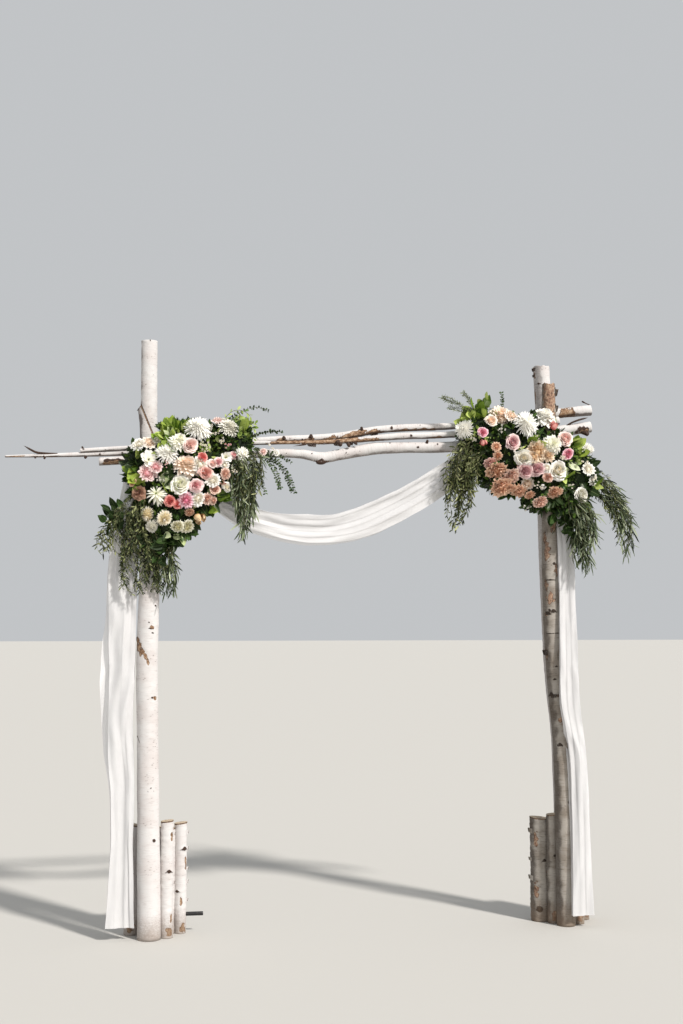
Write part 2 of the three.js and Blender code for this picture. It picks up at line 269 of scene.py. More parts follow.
def see_through(tree, shader, output, colour, share):
    """Lets a share of the light behind a thin sheet glow through it, by a Translucent shader."""
    glow = node(tree, "BsdfTranslucent", {"Color": colour})
    both = node(tree, "MixShader", {0: share, 1: shader.outputs[0], 2: glow})
    tree.links.new(both, output.inputs["Surface"])
    return both


# %% [markdown]
# ## Floor and light
# A plain pale floor runs back out of sight. The sun stood high on the right and in front, so one
# soft sun lamp shines from there, and an even pale surround keeps the shadows open.

# %% Floor and light
SUN_RAY = (-4.6, 6.2, -7.4)
FLOOR_METRES = 160
sun_data = bpy.data.lights.new("soft_sun", "SUN")
sun_data.energy = 3.8
sun_data.angle = np.radians(5)
sun_data.color = linear("#FFFBF6")[:3]
sun = bpy.data.objects.new("soft_sun", sun_data)
sun.rotation_euler = Vector(SUN_RAY).to_track_quat("-Z", "Y").to_euler()
bpy.context.scene.collection.objects.link(sun)

world = bpy.data.worlds.new("pale_surround")
world.use_nodes = True
fill(world.node_tree, world.node_tree.nodes["Background"], {"Color": "#F3F6F9", "Strength": 0.60})
bpy.context.scene.world = world
bpy.context.scene.view_settings.view_transform = "Standard"

matte, matte_tree, matte_shader, _ = finish("matte_studio_floor")
floor_tone = node(matte_tree, "TexNoise", {"Scale": 0.4, "Detail": 2.0})
floor_colour = node(matte_tree, "Mix", {0: floor_tone, 6: "#BEBBB6", 7: "#C7C5BF"}, **COLOURS)
fill(matte_tree, matte_shader, {"Base Color": floor_colour, "Roughness": 0.95})
bpy.ops.mesh.primitive_plane_add(size=FLOOR_METRES, location=(0, 0, 0))
floor = bpy.context.object
floor.name = "studio_floor"
floor.data.materials.append(matte)

# %% [markdown]
# ## Birch logs
# Paper birch is white with a pink or grey cast, marked by short dark pores that run round the
# trunk, by dark brows over old branches, and by brown wood where a sheet of bark has torn off.
# A log is a ring carried along a curve, its radius swelling a little at random and at each knot.
# A modelled cylinder with a picture of bark would look smooth in outline, so the swellings are in
# the mesh, and each point carries its place on the unrolled log for the bark pattern to follow.

# %% A curve through stations
def through(stations, count):
    """count points, and the sizes there, at even steps through stations: a centripetal
    Catmull-Rom curve, whose tangent at each station leans on its two neighbours."""
    stations = np.array(stations, float)
    places, sizes = stations[:, :3], stations[:, 3:]
    spans = len(stations) - 1
    ends = [2 * places[:1] - places[1:2], places, 2 * places[-1:] - places[-2:-1]]
    p = np.concatenate(ends)
    step = np.linspace(0, spans, count)
    i = np.minimum(step.astype(int), spans - 1)
    w = (step - i)[:, None]
    a, b, c, d = (p[i + k] for k in range(4))
    ab, bc, cd = (np.sqrt(np.linalg.norm(y - x, axis=1))[:, None] for x, y in ((a, b), (b, c), (c, d)))
    rise = ((b - a) / ab - (c - a) / (ab + bc) + (c - b) / bc) * bc
    fall = ((c - b) / bc - (d - b) / (bc + cd) + (d - c) / cd) * bc
    cubic = 2 * b - 2 * c + rise + fall
    square = 3 * c - 3 * b - 2 * rise - fall
    centre = ((cubic * w + square) * w + rise) * w + b
    return centre, blend(sizes[i], sizes[i + 1], w)


def axes_along(centre):
    """The tangent of a line of points, the way across it in the arch's plane, and its front."""
    tangent = unit(np.gradient(centre, axis=-2))
    across = unit(np.cross(DEEP, tangent))
    return tangent, across, np.cross(across, tangent)


def around(across, front, angle):
    """The ways out at some angles round a line: across cos a + front sin a."""
    return across * np.cos(angle)[..., None] + front * np.sin(angle)[..., None]


# %% [markdown]
# ## The surface of a log
# The bark is one grid, closed at each end by rings that shrink to the middle. Knots, peels and cuts
# are marked at its points as scar and peel, and the side away from the sun as painted shade, all of
# which the bark's finish turns into colour.

# %% The surface of a log
CAP_SHARES = np.array([0.97, 0.7, 0.35, 0.0])
CAP_ROWS = len(CAP_SHARES)


def log(stations, sides, rings, seed, axis=2, knots=(), peels=(), cuts=(), rim=6.0, ragged=0.0,
        rough=1.0, grime=(0.4, 0.4), shade_start=0.55):
    """Rings of centre + r (across cos a + front sin a), closed by sawn ends. Angle 0 is a post's
    right or a beam's top, and 90 its front. A knot is (place on axis, angle, size, arm, slope): a
    bell-shaped lump, with dark arms that fall by slope for each millimetre round the log. A peel
    is (place, angle, half height, half width), an ellipse with a drifting edge. A cut is (x, z,
    slope), a line the top stays under, and the first of them is sawn, with a dark band for rim
    millimetres below it: part torn bark, part painted shadow along the cut's edge. Ragged tears
    the top end by so many millimetres, and rough scales the swellings. Painted shade, with a value
    at each end, darkens the side round 180 degrees, a beam's underside or a post's left, which
    faces away from the sun, where -cos a is over the shade_start threshold."""
    centre, radius = through(stations, rings)
    tangent, across, front = axes_along(centre)
    along = np.append(0, np.cumsum(np.linalg.norm(np.diff(centre, axis=0), axis=1)))
    angle = circle(sides)
    mean = radius.mean()
    place = stacked(mean * np.cos(angle), mean * np.sin(angle), along[:, None])
    swell = 0.020 * drift(place, 340, seed) + 0.012 * drift(place * [1, 1, 2.2], 60, seed + 1)
    grown = radius * (1 + rough * swell)
    scar, peel = np.zeros((2, rings, sides))
    order = np.argsort(centre[:, axis])

    def measured_from(at, turn):
        """How far round the log and how far along it each point is from a place and an angle."""
        here = np.interp(at, centre[order, axis], along[order])
        round_it = ((angle - np.radians(turn) + np.pi) % (2 * np.pi) - np.pi) * mean
        return round_it, along[:, None] - here

    for at, turn, size, arm, slope in knots:
        round_it, down = measured_from(at, turn)
        close = np.exp(-(round_it ** 2 + down ** 2) / size ** 2)
        line = np.exp(-((down + slope * np.abs(round_it)) / (0.42 * size)) ** 2)
        line = line * np.clip(1.15 - np.abs(round_it) / max(arm, 1), 0, 1)
        grown = grown + 0.22 * size * close + 0.05 * size * line
        scar = np.maximum(scar, np.maximum(close, line))
    for at, turn, tall, wide in peels:
        round_it, down = measured_from(at, turn)
        edge = 1.25 - np.hypot(round_it / wide, down / tall)
        peel = np.maximum(peel, edge + 0.42 * drift(place, 26, seed + 2))
    # Painted shade: the side of the log away from the sun, round 180 degrees, is marked darker.
    shaded_side = 3 * (-np.cos(angle) - shade_start) + 0.4 * drift(place, 70, seed + 6)
    grime = np.interp(along, [0, along[-1]], grime)[:, None]
    grime = np.clip(grime, 0, 1) * np.clip(shaded_side, 0, 1)
    grown = grown - 1.2 * np.clip(peel * 3, 0, 1)
    ring = around(across[:, None], front[:, None], angle)
    side = centre[:, None] + ring * grown[..., None]
    if ragged:
        tear = ragged * (0.4 + drift(place[-1], 34, seed + 3))
        side[-3:] += (tangent[-3:, None] * tear[:, None]) * np.array([0.2, 0.6, 1.0])[:, None, None]
    bottom = centre[0] + (side[0] - centre[0]) * CAP_SHARES[::-1, None, None]
    top = centre[-1] + (side[-1] - centre[-1]) * CAP_SHARES[:, None, None]
    if ragged:
        top -= tangent[-1] * ragged * (1 - CAP_SHARES[:, None, None])
    points = np.concatenate([bottom, side, top])
    shares = np.concatenate([CAP_SHARES[::-1], np.ones(rings), CAP_SHARES])
    rows = np.clip(np.arange(len(shares)) - CAP_ROWS, 0, rings - 1)
    cap = np.arange(len(shares) - 1)
    slot = np.where((cap < CAP_ROWS) | (cap >= CAP_ROWS + rings - 1), 1, 0)[:, None]
    slot = np.broadcast_to(slot, (len(shares) - 1, sides))
    if cuts:
        limits = np.array([z + slope * (points[..., 0] - x) for x, z, slope in cuts])
        limit = limits.min(0)
        cut = (points[..., 2] > limit) & (limits[0] <= limit)
        # Under the sawn cut, a dark band: part torn bark, part painted shadow along the cut's edge.
        gap = np.maximum(limits[0] - points[..., 2], 0)[CAP_ROWS:-CAP_ROWS]
        scar = np.maximum(scar, 2 - 2 * gap / rim)
        peel = np.maximum(peel, 1 - 0.7 * gap / rim)
        points[..., 2] = np.minimum(points[..., 2], limit)
        corners = cut & np.roll(cut, -1, 1)
        slot = np.where(corners[:-1] & corners[1:], 1, slot)
    points[..., 2] = np.maximum(points[..., 2], 0)
    unrolled = place[rows] * stacked(shares, shares, 1.0)[:, None]
    marks = {"scar": scar[rows][..., None], "peel": np.clip(peel, 0, 1)[rows][..., None],
             "grime": grime[rows][..., None]}
    return grid(points, wrap=True, slot=slot, place=unrolled * MM, **marks)


# %% [markdown]
# ## Twigs and loose bark
# Side twigs are thin rings carried along a line of their own. Where birch bark has come loose, it
# curls away from the wood, tan on its inner side.

# %% Twigs and loose bark
def twig(stations, sides=10, rings=14):
    """A side twig: a ring carried along its stations and drawn in to a point at the far end."""
    centre, radius = through(stations, rings)
    _, across, front = axes_along(centre)
    angle = circle(sides)
    closing = np.append(np.ones(rings - 2), [0.6, 0.05])[:, None]
    ring = around(across[:, None], front[:, None], angle)
    points = centre[:, None] + ring * (radius * closing)[..., None]
    return grid(points, wrap=True, place=(points - centre[0]) * MM, scar=[0.66], peel=[0.25], grime=[0.0])


def curls(stations, where, age=0.0, axis=2):
    """Sheets of bark that have come loose: each starts on the log, follows it round through a
    span, and lifts from it by the square of the way round, then rolls back. Age darkens them,
    and lays a little painted shade on them."""
    centre, radius = through(stations, 200)
    _, across, front = axes_along(centre)
    order = np.argsort(centre[:, axis])
    made = []
    for at, turn, tall, span, lift in where:
        u = np.linspace(0, 1, 14)[:, None]
        v = np.linspace(-1, 1, 7)[None, :]
        here = at + v * tall * (1 - 0.3 * u ** 3) + 0.15 * tall * u
        base, r, out, side = sampled(here, centre[order, axis], centre[order], radius[order],
                                     across[order], front[order])
        angle = np.radians(turn + span * np.sin(u * 2.2) / 0.81)
        away = r[..., 0] + 0.6 + lift * (1 - np.cos(u * 2.4)) * (1 + 0.2 * v)
        points = base + around(out, side, angle) * away[..., None]
        loose = (u ** 2)[..., None]
        made.append(grid(points, place=points * MM, scar=age * (0.62 - 0.15 * loose), peel=0.36 * loose,
                         grime=[0.3 * age]))
    return made


# %% [markdown]
# ## Bark
# Paper birch bark is thin, papery and dull, chalk white on top and tan beneath. Its pores are
# dashes 8 to 20 mm wide and 1 to 2 mm high, drawn a little taller so that they show. Near the
# ground it is soiled. The values kept at each point say where it is scarred, peeled or in painted
# shade on the side away from the sun, and a fine grit roughens their edges.

# %% Bark
def birch_bark(name, pale, warm, smudge, inner, scarred, dirt):
    """Papery bark, chalky and rough: pale and warm tones, streaks and pores round the log, dark
    scars over knots, and inner bark where a sheet is gone."""
    material, tree, shader, _ = finish(name)
    place = node(tree, "Attribute", attribute_name="place", out="Vector")
    scar, peel, grime = (node(tree, "Attribute", attribute_name=mark, out="Fac")
                         for mark in ("scar", "peel", "grime"))
    height = node(tree, "SeparateXYZ", {0: node(tree, "TexCoord", out="Object")}, out="Z")
    flat, dash, torn = (node(tree, "Mapping", {"Vector": place, "Scale": scale})
                        for scale in ((1, 1, 7), (1, 1, 4.2), (1.5, 1.5, 0.9)))
    tone = node(tree, "TexNoise", {"Vector": place, "Scale": per(95), "Detail": 4.0})
    streak = node(tree, "TexNoise", {"Vector": flat, "Scale": per(38), "Detail": 6.0, "Roughness": 0.65})
    fleck = node(tree, "TexNoise", {"Vector": flat, "Scale": per(9), "Detail": 3.0})
    pore = node(tree, "TexVoronoi", {"Vector": dash, "Scale": per(27)}, out="Distance")
    grit = node(tree, "TexNoise", {"Vector": place, "Scale": per(7), "Detail": 4.0})
    flake = node(tree, "TexNoise", {"Vector": torn, "Scale": per(17), "Detail": 6.0, "Roughness": 0.8})
    rough_scar, rough_peel, rough_grime, soil = (
        node(tree, "Math", {0: grit, 1: share, 2: value}, operation="MULTIPLY_ADD")
        for share, value in ((0.45, scar), (0.30, peel), (0.4, grime), (-0.12, height)))
    gate, dashes, scars = (
        node(tree, "MapRange", {"Value": value, "From Min": low, "From Max": high, "To Max": top}, **SMOOTH)
        for value, low, high, top in ((tone, 0.48, 0.60, 0.7), (pore, 0.20, 0.12, 1.0),
                                      (rough_scar, 0.62, 0.86, 1.0)))
    pores = node(tree, "Math", {0: dashes, 1: gate}, operation="MULTIPLY")
    colour = layered(tree, pale, [(tone, 0.35, 0.68, 1.0, warm), (streak, 0.50, 0.78, dirt, smudge),
                                  (fleck, 0.60, 0.80, 0.35, smudge)])
    colour = node(tree, "Mix", {0: pores, 6: colour, 7: "#5E4D43"}, **COLOURS)
    colour = node(tree, "Mix", {0: scars, 6: colour, 7: scarred}, **COLOURS)
    under = layered(tree, inner, [(flake, 0.53, 0.62, 0.85, scarred), (flake, 0.51, 0.42, 0.85, "#BFA78E"),
                                  (rough_peel, 0.66, 0.52, 0.7, scarred)])
    # Here the painted shade mark lays the dark scarred colour over the side of a log away from the sun, as
    # painted shade. The lowest few centimetres are soiled brown.
    colour = layered(tree, colour, [(rough_peel, 0.42, 0.50, 1.0, under),
                                    (rough_grime, 0.26, 0.95, 0.8, scarred),
                                    (scar, 1.05, 1.40, 1.0, scarred), (soil, 0.07, -0.06, 0.6, "#7A6552")])
    relief = pores
    for pattern, weight in ((streak, 0.6), (scars, 1.5), (grit, 0.25)):
        relief = node(tree, "Math", {0: pattern, 1: weight, 2: relief}, operation="MULTIPLY_ADD")
    rise = node(tree, "Bump", {"Height": relief, "Strength": 0.55, "Distance": 2.5 * MM})
    fill(tree, shader, {"Base Color": colour, "Roughness": 0.82, "Specular IOR Level": 0.3, "Normal": rise})
    return material


white_bark = birch_bark("white_paper_birch_bark", "#DAD7D5", "#D2CBC8", "#A69A93", "#8E6E54",
                        "#413027", 0.5)
# The grey bark is a darker copy of the white bark: partly the right poles' own grey, partly painted shade
# where they stood in shadow.
grey_and_shaded_bark = birch_bark("grey_and_shaded_paper_birch_bark", "#ABA49B", "#8A8075", "#554B42", "#957460",
                       "#3A3029", 0.9)

# %% [markdown]
# ## Sawn wood
# Sawn birch ends are pale and very dull, with year rings round the heart and drying cracks, and the
# weather has greyed them. Real rings are about 3 mm apart, too fine to show from here, so the
# pattern is drawn several times as coarse.

# %% Sawn wood
sawn_wood, sawn_tree, sawn_shader, _ = finish("sawn_birch_end_grain")
sawn_place = node(sawn_tree, "Attribute", attribute_name="place", out="Vector")
across_grain = node(sawn_tree, "Mapping", {"Vector": sawn_place, "Scale": (1, 1, 0.05)})
year_rings = node(sawn_tree, "TexWave", {"Vector": across_grain, "Scale": per(19), "Distortion": 2.5},
                  out="Fac", wave_type="RINGS", rings_direction="Z")
cracks = node(sawn_tree, "TexNoise", {"Vector": sawn_place, "Scale": per(14), "Detail": 5.0})
sawn_colour = node(sawn_tree, "Mix", {0: year_rings, 6: "#CBBCA4", 7: "#A8937A"}, **COLOURS)
sawn_colour = layered(sawn_tree, sawn_colour, [(cracks, 0.52, 0.70, 0.8, "#6E5947")])
sawn_rise = node(sawn_tree, "Bump", {"Height": cracks, "Strength": 0.5, "Distance": 1.5 * MM})
fill(sawn_tree, sawn_shader, {"Base Color": sawn_colour, "Roughness": 0.9, "Normal": sawn_rise})

# %% [markdown]
# ## Posts
# Each corner is a pair of poles, one behind the other, that lean by a few centimetres. The left
# front pole ends in a long slanting cut. The right pair is greyer, partly its own grey and partly
# painted shade, with torn brown bark at its top. Dark brows and peels sit where they show on the
# real poles, and each pole's side away from the sun is darkened as painted shade.

# %% Posts
POSTS = {
    "left_back_post": dict(
        stations=[[-973, 55, 0, 50], [-987, 54, 820, 48], [-996, 54, 1590, 44],
                  [-1002, 54, 2370, 40.5], [-1004, 54, 2865, 39.5]],
        knots=[(2548, 160, 5, 22, 0.05), (2690, 60, 3, 8, 0.2), (2862, 84, 5, 4, 0.2),
               (1910, 300, 14, 46, 1.0),
               (1240, 250, 16, 50, 1.1), (640, 20, 15, 44, 0.9)],
        peels=[(1500, 262, 60, 30), (900, 250, 26, 18)], bark="white", grime=(0.3, 0.5),
        shade_start=0.7),
    "left_front_post": dict(
        stations=[[-972, -60, 0, 56], [-987, -59, 830, 51], [-996, -58, 1300, 51],
                  [-990, -58, 1700, 49], [-1000, -57, 2330, 42.5], [-1004, -57, 2440, 42.5],
                  [-1014, -57, 2530, 43], [-1016, -57, 2590, 43]],
        knots=[(1398, 176, 14, 110, 1.35), (1123, 62, 7, 34, 0.35), (945, 160, 6, 70, 1.6),
               (1452, 72, 7, 22, 0.1), (1478, 85, 5, 12, 0.1), (1430, 62, 4, 18, 0.2),
               (1560, 50, 6, 22, 0.6), (700, 75, 6, 30, 0.8), (1640, 60, 5, 20, 0.3),
               (460, 60, 9, 34, 0.3), (1820, 250, 15, 50, 1.0), (820, 240, 14, 50, 1.1)],
        peels=[(1388, 166, 20, 19), (1362, 144, 22, 17), (1340, 122, 20, 15), (1316, 102, 16, 10),
               (1290, 86, 14, 6), (1120, 48, 7, 14), (1456, 66, 9, 12)],
        bark="white", cuts=((-1037, 2525, -2.4), (-1037, 2525, 1.2)), rim=24.0, grime=(-3.0, 1.2),
        shade_start=0.6),
    "right_back_post": dict(
        stations=[[1086, 60, 0, 45], [1068, 60, 907, 43], [1040, 60, 1200, 43],
                  [1013, 60, 1900, 41], [1005, 60, 2560, 41], [996, 60, 2790, 42]],
        knots=[(2700, 130, 7, 26, 0.2), (2640, 60, 6, 20, 0.4), (1700, 280, 16, 50, 1.0),
               (900, 250, 14, 46, 1.0), (2050, 250, 12, 40, 0.8)],
        peels=[(2745, 165, 16, 9), (2640, 178, 40, 9), (1420, 255, 90, 36)],
        bark="white", ragged=6, grime=(0.42, 0.42), shade_start=0.1),
    "right_front_post": dict(
        stations=[[1052, -62, 0, 46], [1040, -62, 916, 44.5], [1018, -62, 1130, 43.5],
                  [998, -62, 1500, 42.5], [994, -62, 1890, 41], [996, -62, 2480, 37],
                  [997, -62, 2677, 33]],
        knots=[(1535, 92, 12, 30, 0.4), (1540, 120, 8, 20, 0.6), (1426, 100, 4, 80, 0.06),
               (1126, 145, 14, 54, 0.35), (1200, 112, 6, 20, 0.4), (1262, 95, 6, 14, 0.1),
               (1905, 105, 5, 70, 0.05), (1770, 80, 9, 34, 0.5), (1690, 110, 6, 60, 0.08),
               (880, 120, 10, 36, 0.6), (600, 70, 12, 40, 0.8), (1300, 270, 15, 50, 1.0)],
        peels=[(1600, 112, 30, 22), (1522, 138, 12, 14), (1318, 165, 26, 14), (2600, 98, 150, 50),
               (1830, 130, 50, 18), (1960, 75, 44, 20), (1740, 60, 26, 14), (1000, 100, 20, 12),
               (1665, 140, 26, 12), (1900, 150, 30, 12)],
        bark="grey", ragged=5, grime=(0.62, 0.40), shade_start=0.45),
}
CURLS = {
    "right_back_post": [(2776, 150, 9, 34, 4), (2745, 162, 7, 28, 3)],
    "right_front_post": [(2638, 34, 24, -52, 13), (2556, 34, 22, -52, 12),
                         (1524, 150, 9, -34, 6), (1330, 150, 14, 40, 6), (1118, 150, 8, -44, 7)],
}

# %% [markdown]
# ## A log as a piece
# The surface of a log, its twigs and its loose bark are joined in one mesh, which replaces the
# packed log of the same name.

# %% Posts as pieces
BARKS = {"white": ([white_bark, sawn_wood], "white_birch_bark"),
         "grey": ([grey_and_shaded_bark, sawn_wood], "grey_birch_bark")}


def make_log(name, stations, bark, sides, rings, seed, twigs=(), loose=(), age=1.0, axis=2, **details):
    """One log as a piece: its surface, its side twigs and its loose bark."""
    surfaces = [log(stations, sides, rings, seed, axis=axis, **details)]
    surfaces += [twig(line) for line in twigs]
    surfaces += curls(stations, loose, age, axis)
    materials, slot = BARKS[bark]
    piece(f"birch_{name}", surfaces, materials, [name])


for order, (name, post) in enumerate(POSTS.items()):
    make_log(name, sides=60, rings=380, seed=10 * order, loose=CURLS.get(name, ()), **post)

# %% [markdown]
# ## Beams
# Three thinner poles cross behind the flowers and in front of the back posts. The longest runs far
# past the left post and ends in a forked twig. Old branch stubs and brown torn patches break up
# the white bark.

# %% Beams
BEAMS = {
    "lower_beam": dict(
        stations=[[1233, -2, 2475, 28], [1053, -2, 2446, 28], [530, 0, 2361, 26.5],
                  [243, 0, 2350, 27.5], [117, 0, 2343, 30], [-55, 0, 2311, 27.5],
                  [-145, 0, 2294, 27.5], [-260, 0, 2310, 22.5], [-419, 0, 2309, 21],
                  [-801, 0, 2285, 20.5], [-1239, 0, 2255, 19.5]],
        knots=[(-150, 160, 17, 30, 0.2), (1187, 112, 17, 30, 0.2), (1150, 130, 12, 24, 0.3),
               (-205, 70, 4, 8, 0.3), (36, 95, 3, 20, 0.0), (-330, 95, 3, 8, 0.3),
               (190, 40, 5, 8, 0.3), (330, 92, 8, 8, 0.2), (430, 60, 5, 10, 0.3),
               (-1203, 86, 14, 26, 0.1), (-1178, 92, 15, 28, 0.1), (-1150, 86, 14, 26, 0.1),
               (-1126, 92, 10, 20, 0.1), (1168, 106, 15, 24, 0.2), (1206, 118, 14, 24, 0.2),
               (-33, 92, 4, 14, 0.6), (-156, 132, 12, 22, 0.3),
               (0, 270, 14, 30, 0.6)],
        peels=[(-1165, 128, 62, 18), (-1100, 150, 24, 9), (-140, 152, 20, 12), (1190, 140, 34, 14),
               (540, 275, 80, 22)], grime=(0.55, 0.55), shade_start=0.5),
    "top_beam": dict(
        stations=[[1240, 12, 2563, 27], [1075, 12, 2544, 25.5], [864, 12, 2514, 21.5],
                  [531, 12, 2468, 17], [244, 12, 2450, 19], [117, 12, 2437, 19],
                  [-55, 12, 2403, 20], [-200, 12, 2391, 17.5], [-409, 12, 2379, 16],
                  [-753, 12, 2340, 15], [-1091, 4, 2303, 15.5], [-1458, 0, 2282, 9.5],
                  [-1683, 0, 2273, 5.5]],
        knots=[(-31, 140, 11, 22, 0.2), (12, 120, 9, 18, 0.3), (40, 60, 10, 22, 0.3),
               (-250, 110, 6, 8, 0.2), (-330, 120, 7, 12, 0.3), (-215, 84, 6, 14, 0.4),
               (-1130, 90, 6, 10, 0.2), (-1500, 110, 6, 10, 0.2), (200, 84, 8, 16, 0.4),
               (350, 60, 5, 12, 0.3), (-1560, 130, 6, 9, 0.2), (-340, 96, 9, 22, 0.2),
               (-205, 80, 8, 18, 0.3), (-1235, 100, 5, 9, 0.1)],
        peels=[(-355, 110, 24, 12), (-215, 120, 30, 9), (-80, 126, 60, 16), (20, 112, 60, 20),
               (104, 134, 60, 16), (1104, 122, 42, 36), (300, 160, 150, 14), (-1636, 100, 70, 8),
               (-1490, 140, 70, 8)], grime=(0.85, 0.85), shade_start=0.32),
    "middle_beam": dict(
        stations=[[1064, -9, 2503, 20.5], [759, -10, 2450, 19], [459, -12, 2416, 17],
                  [244, -14, 2406, 17], [-10, -15, 2379, 13.5], [-160, -15, 2368, 12],
                  [-335, -15, 2363, 10], [-753, -15, 2346, 10], [-1139, -10, 2321, 10.5],
                  [-1324, -8, 2306, 10], [-1328, -8, 2305.5, 9.5]],
        knots=[(-1312, 60, 6, 8, 0.2), (-1210, 110, 5, 8, 0.2), (380, 100, 4, 10, 0.3),
               (295, 92, 7, 10, 0.2), (102, 120, 7, 14, 0.4), (-60, 150, 9, 16, 0.3),
               (-30, 160, 9, 16, 0.3), (0, 150, 8, 14, 0.3)],
        peels=[(-330, 80, 80, 40), (-210, 80, 90, 40), (-90, 80, 80, 40), (-10, 90, 60, 34),
               (80, 140, 60, 16), (430, 165, 60, 12)], grime=(0.8, 0.8), shade_start=0.4),
}
SIDES_AND_RINGS = {"lower_beam": (40, 330), "top_beam": (36, 380), "middle_beam": (30, 300)}
TWIGS = {
    "top_beam": [
        [[-1436, -4, 2289, 4.5], [-1500, -6, 2290, 5.5], [-1536, -8, 2294, 5.5], [-1558, -8, 2304, 5],
         [-1596, -8, 2326, 3.6]],
        [[1238, 10, 2590, 2.5], [1216, 8, 2598, 2.5], [1200, 6, 2605, 4.5], [1192, 4, 2609, 3.4]],
        [[-1298, 2, 2286, 7], [-1304, 0, 2274, 7], [-1308, 0, 2268, 4]],
        [[-1494, 0, 2278, 6], [-1498, -2, 2266, 5], [-1500, -3, 2262, 3]],
        [[-1538, 0, 2276, 5], [-1541, -2, 2268, 4.5], [-1542, -3, 2265, 3]],
        [[50, 0, 2434, 8], [47, -8, 2446, 7], [45, -10, 2451, 4]],
        [[-338, 0, 2382, 10], [-343, -5, 2390, 9], [-347, -7, 2393, 5]],
        [[-203, 0, 2393, 10], [-208, -5, 2402, 9], [-212, -7, 2405, 5]],
        [[-290, -6, 2378, 5], [-262, -16, 2364, 4], [-232, -22, 2356, 4], [-300, -24, 2344, 2]]],
    "middle_beam": [
        [[-70, -20, 2374, 9], [-76, -30, 2368, 11], [-84, -36, 2362, 8]],
        [[-58, -18, 2366, 9], [-62, -28, 2356, 10], [-66, -34, 2350, 7]],
        [[-22, -18, 2368, 8], [-20, -28, 2354, 9], [-16, -34, 2346, 6]],
        [[8, -18, 2372, 7], [16, -30, 2362, 6], [24, -34, 2360, 4]],
        [[-1316, -10, 2316, 5], [-1319, -12, 2324, 4.5], [-1320, -12, 2327, 3]]],
    "lower_beam": [
        [[1100, -12, 2474, 4], [1126, -22, 2490, 4.6], [1166, -27, 2506, 5], [1214, -27, 2519, 4]],
        [[-132, -6, 2280, 12], [-150, -13, 2270, 13], [-170, -16, 2268, 11], [-184, -18, 2272, 7]],
        [[1186, -14, 2448, 13], [1206, -26, 2436, 12], [1214, -32, 2428, 9]],
        [[-1122, -6, 2244, 4], [-1124, -8, 2222, 3], [-1124, -8, 2212, 2]],
        [[377, -14, 2370, 8], [379, -22, 2384, 6.5], [380, -24, 2390, 4]]],
}
BEAM_CURLS = {
    "middle_beam": [(-205, 120, 22, 56, 6), (-80, 130, 16, 60, 5), (-16, 120, 18, 62, 5)],
    "top_beam": [(110, 150, 20, 40, 4)],
}
for order, (name, beam) in enumerate(BEAMS.items()):
    sides, rings = SIDES_AND_RINGS[name]
    make_log(name, bark="white", sides=sides, rings=rings, seed=50 + 10 * order, twigs=TWIGS[name],
             loose=BEAM_CURLS.get(name, ()), axis=0, rough=1.5, **beam)

# %% [markdown]
# ## Foot logs
# Short logs stand round the feet of the posts and steady them. Their tops are sawn a little
# askew. A thin black steel bar runs out between the left ones.

# %% Foot logs and bar
FOOT_LOGS = {
    "left_foot_log_1": (-893, -39, 31, 548, "white"), "left_foot_log_2": (-890.5, 42, 38, 505, "white"),
    "left_foot_log_3": (-827, 46, 29.5, 525, "white"), "left_foot_log_4": (-1057, 52, 36, 520, "white"),
    "right_foot_log_1": (1006.5, -1.5, 31, 535, "grey"), "right_foot_log_2": (958, 58, 49, 510, "grey"),
    "right_foot_log_3": (1169, 62, 40, 525, "grey"), "right_foot_log_4": (1120.5, -28.5, 33, 490, "grey"),
}
FOOT_MARKS = {
    "left_foot_log_1": dict(knots=[(310, 70, 11, 34, 0.3)],
                            peels=[(30, 60, 22, 18), (96, 40, 20, 8), (470, 40, 22, 8)]),
    "left_foot_log_2": dict(knots=[(360, 60, 9, 24, 0.5)], peels=[(40, 60, 26, 20)]),
    "left_foot_log_3": dict(knots=[(398, 52, 12, 34, 0.25), (200, 120, 9, 26, 0.3)],
                            peels=[(26, 60, 22, 16), (330, 30, 34, 8), (150, 84, 30, 6)]),
    "left_foot_log_4": dict(knots=[(300, 100, 12, 30, 0.8)], peels=[(40, 100, 26, 20)]),
    "right_foot_log_1": dict(knots=[(330, 90, 8, 20, 0.5)], peels=[(40, 90, 26, 18)]),
    "right_foot_log_2": dict(knots=[(64, 112, 20, 30, 0.3), (300, 80, 10, 26, 0.5)],
                             peels=[(150, 130, 40, 14), (400, 130, 40, 12), (250, 60, 30, 10)]),
    "right_foot_log_3": dict(knots=[(300, 60, 12, 30, 0.6)], peels=[(40, 60, 26, 20)]),
    "right_foot_log_4": dict(knots=[(280, 80, 8, 24, 0.6)], peels=[(40, 80, 26, 20)]),
}
FOOT_CURLS = {
    "left_foot_log_3": [(470, 24, 10, -34, 5), (392, 20, 14, -30, 4), (300, 26, 8, -36, 5),
                        (236, 16, 12, -30, 5), (150, 26, 9, -40, 5)],
    "left_foot_log_1": [(480, 30, 12, -40, 5), (250, 24, 10, -34, 4)],
    "right_foot_log_2": [(440, 152, 12, 36, 5), (300, 160, 9, 30, 4), (210, 150, 12, 38, 5)],
}
# Painted shade on each foot log's side away from the sun: faint on the white left logs and strong on the
# right ones, which also take the grey bark as painted shade.
FOOT_PAINTED_SHADE = {"white": (0.12, 0.0), "grey": (0.6, 0.6)}
for order, (name, (x, y, radius, tall, bark)) in enumerate(FOOT_LOGS.items()):
    stations = [[x, y, 0, radius], [x, y, tall / 2, radius], [x, y, tall, radius]]
    skew = 0.10 * (-1) ** order
    make_log(name, stations, bark, 56, 120, 90 + 10 * order, loose=FOOT_CURLS.get(name, ()), age=0.0,
             cuts=((x, tall - 6, skew),), rough=2.5, grime=FOOT_PAINTED_SHADE[bark], **FOOT_MARKS[name])

# %% [markdown]
# ## The steel bar
# The bar is painted black, with mid gloss, and the paint has worn brown in spots. It is a ring
# carried along x, drawn in at both ends.

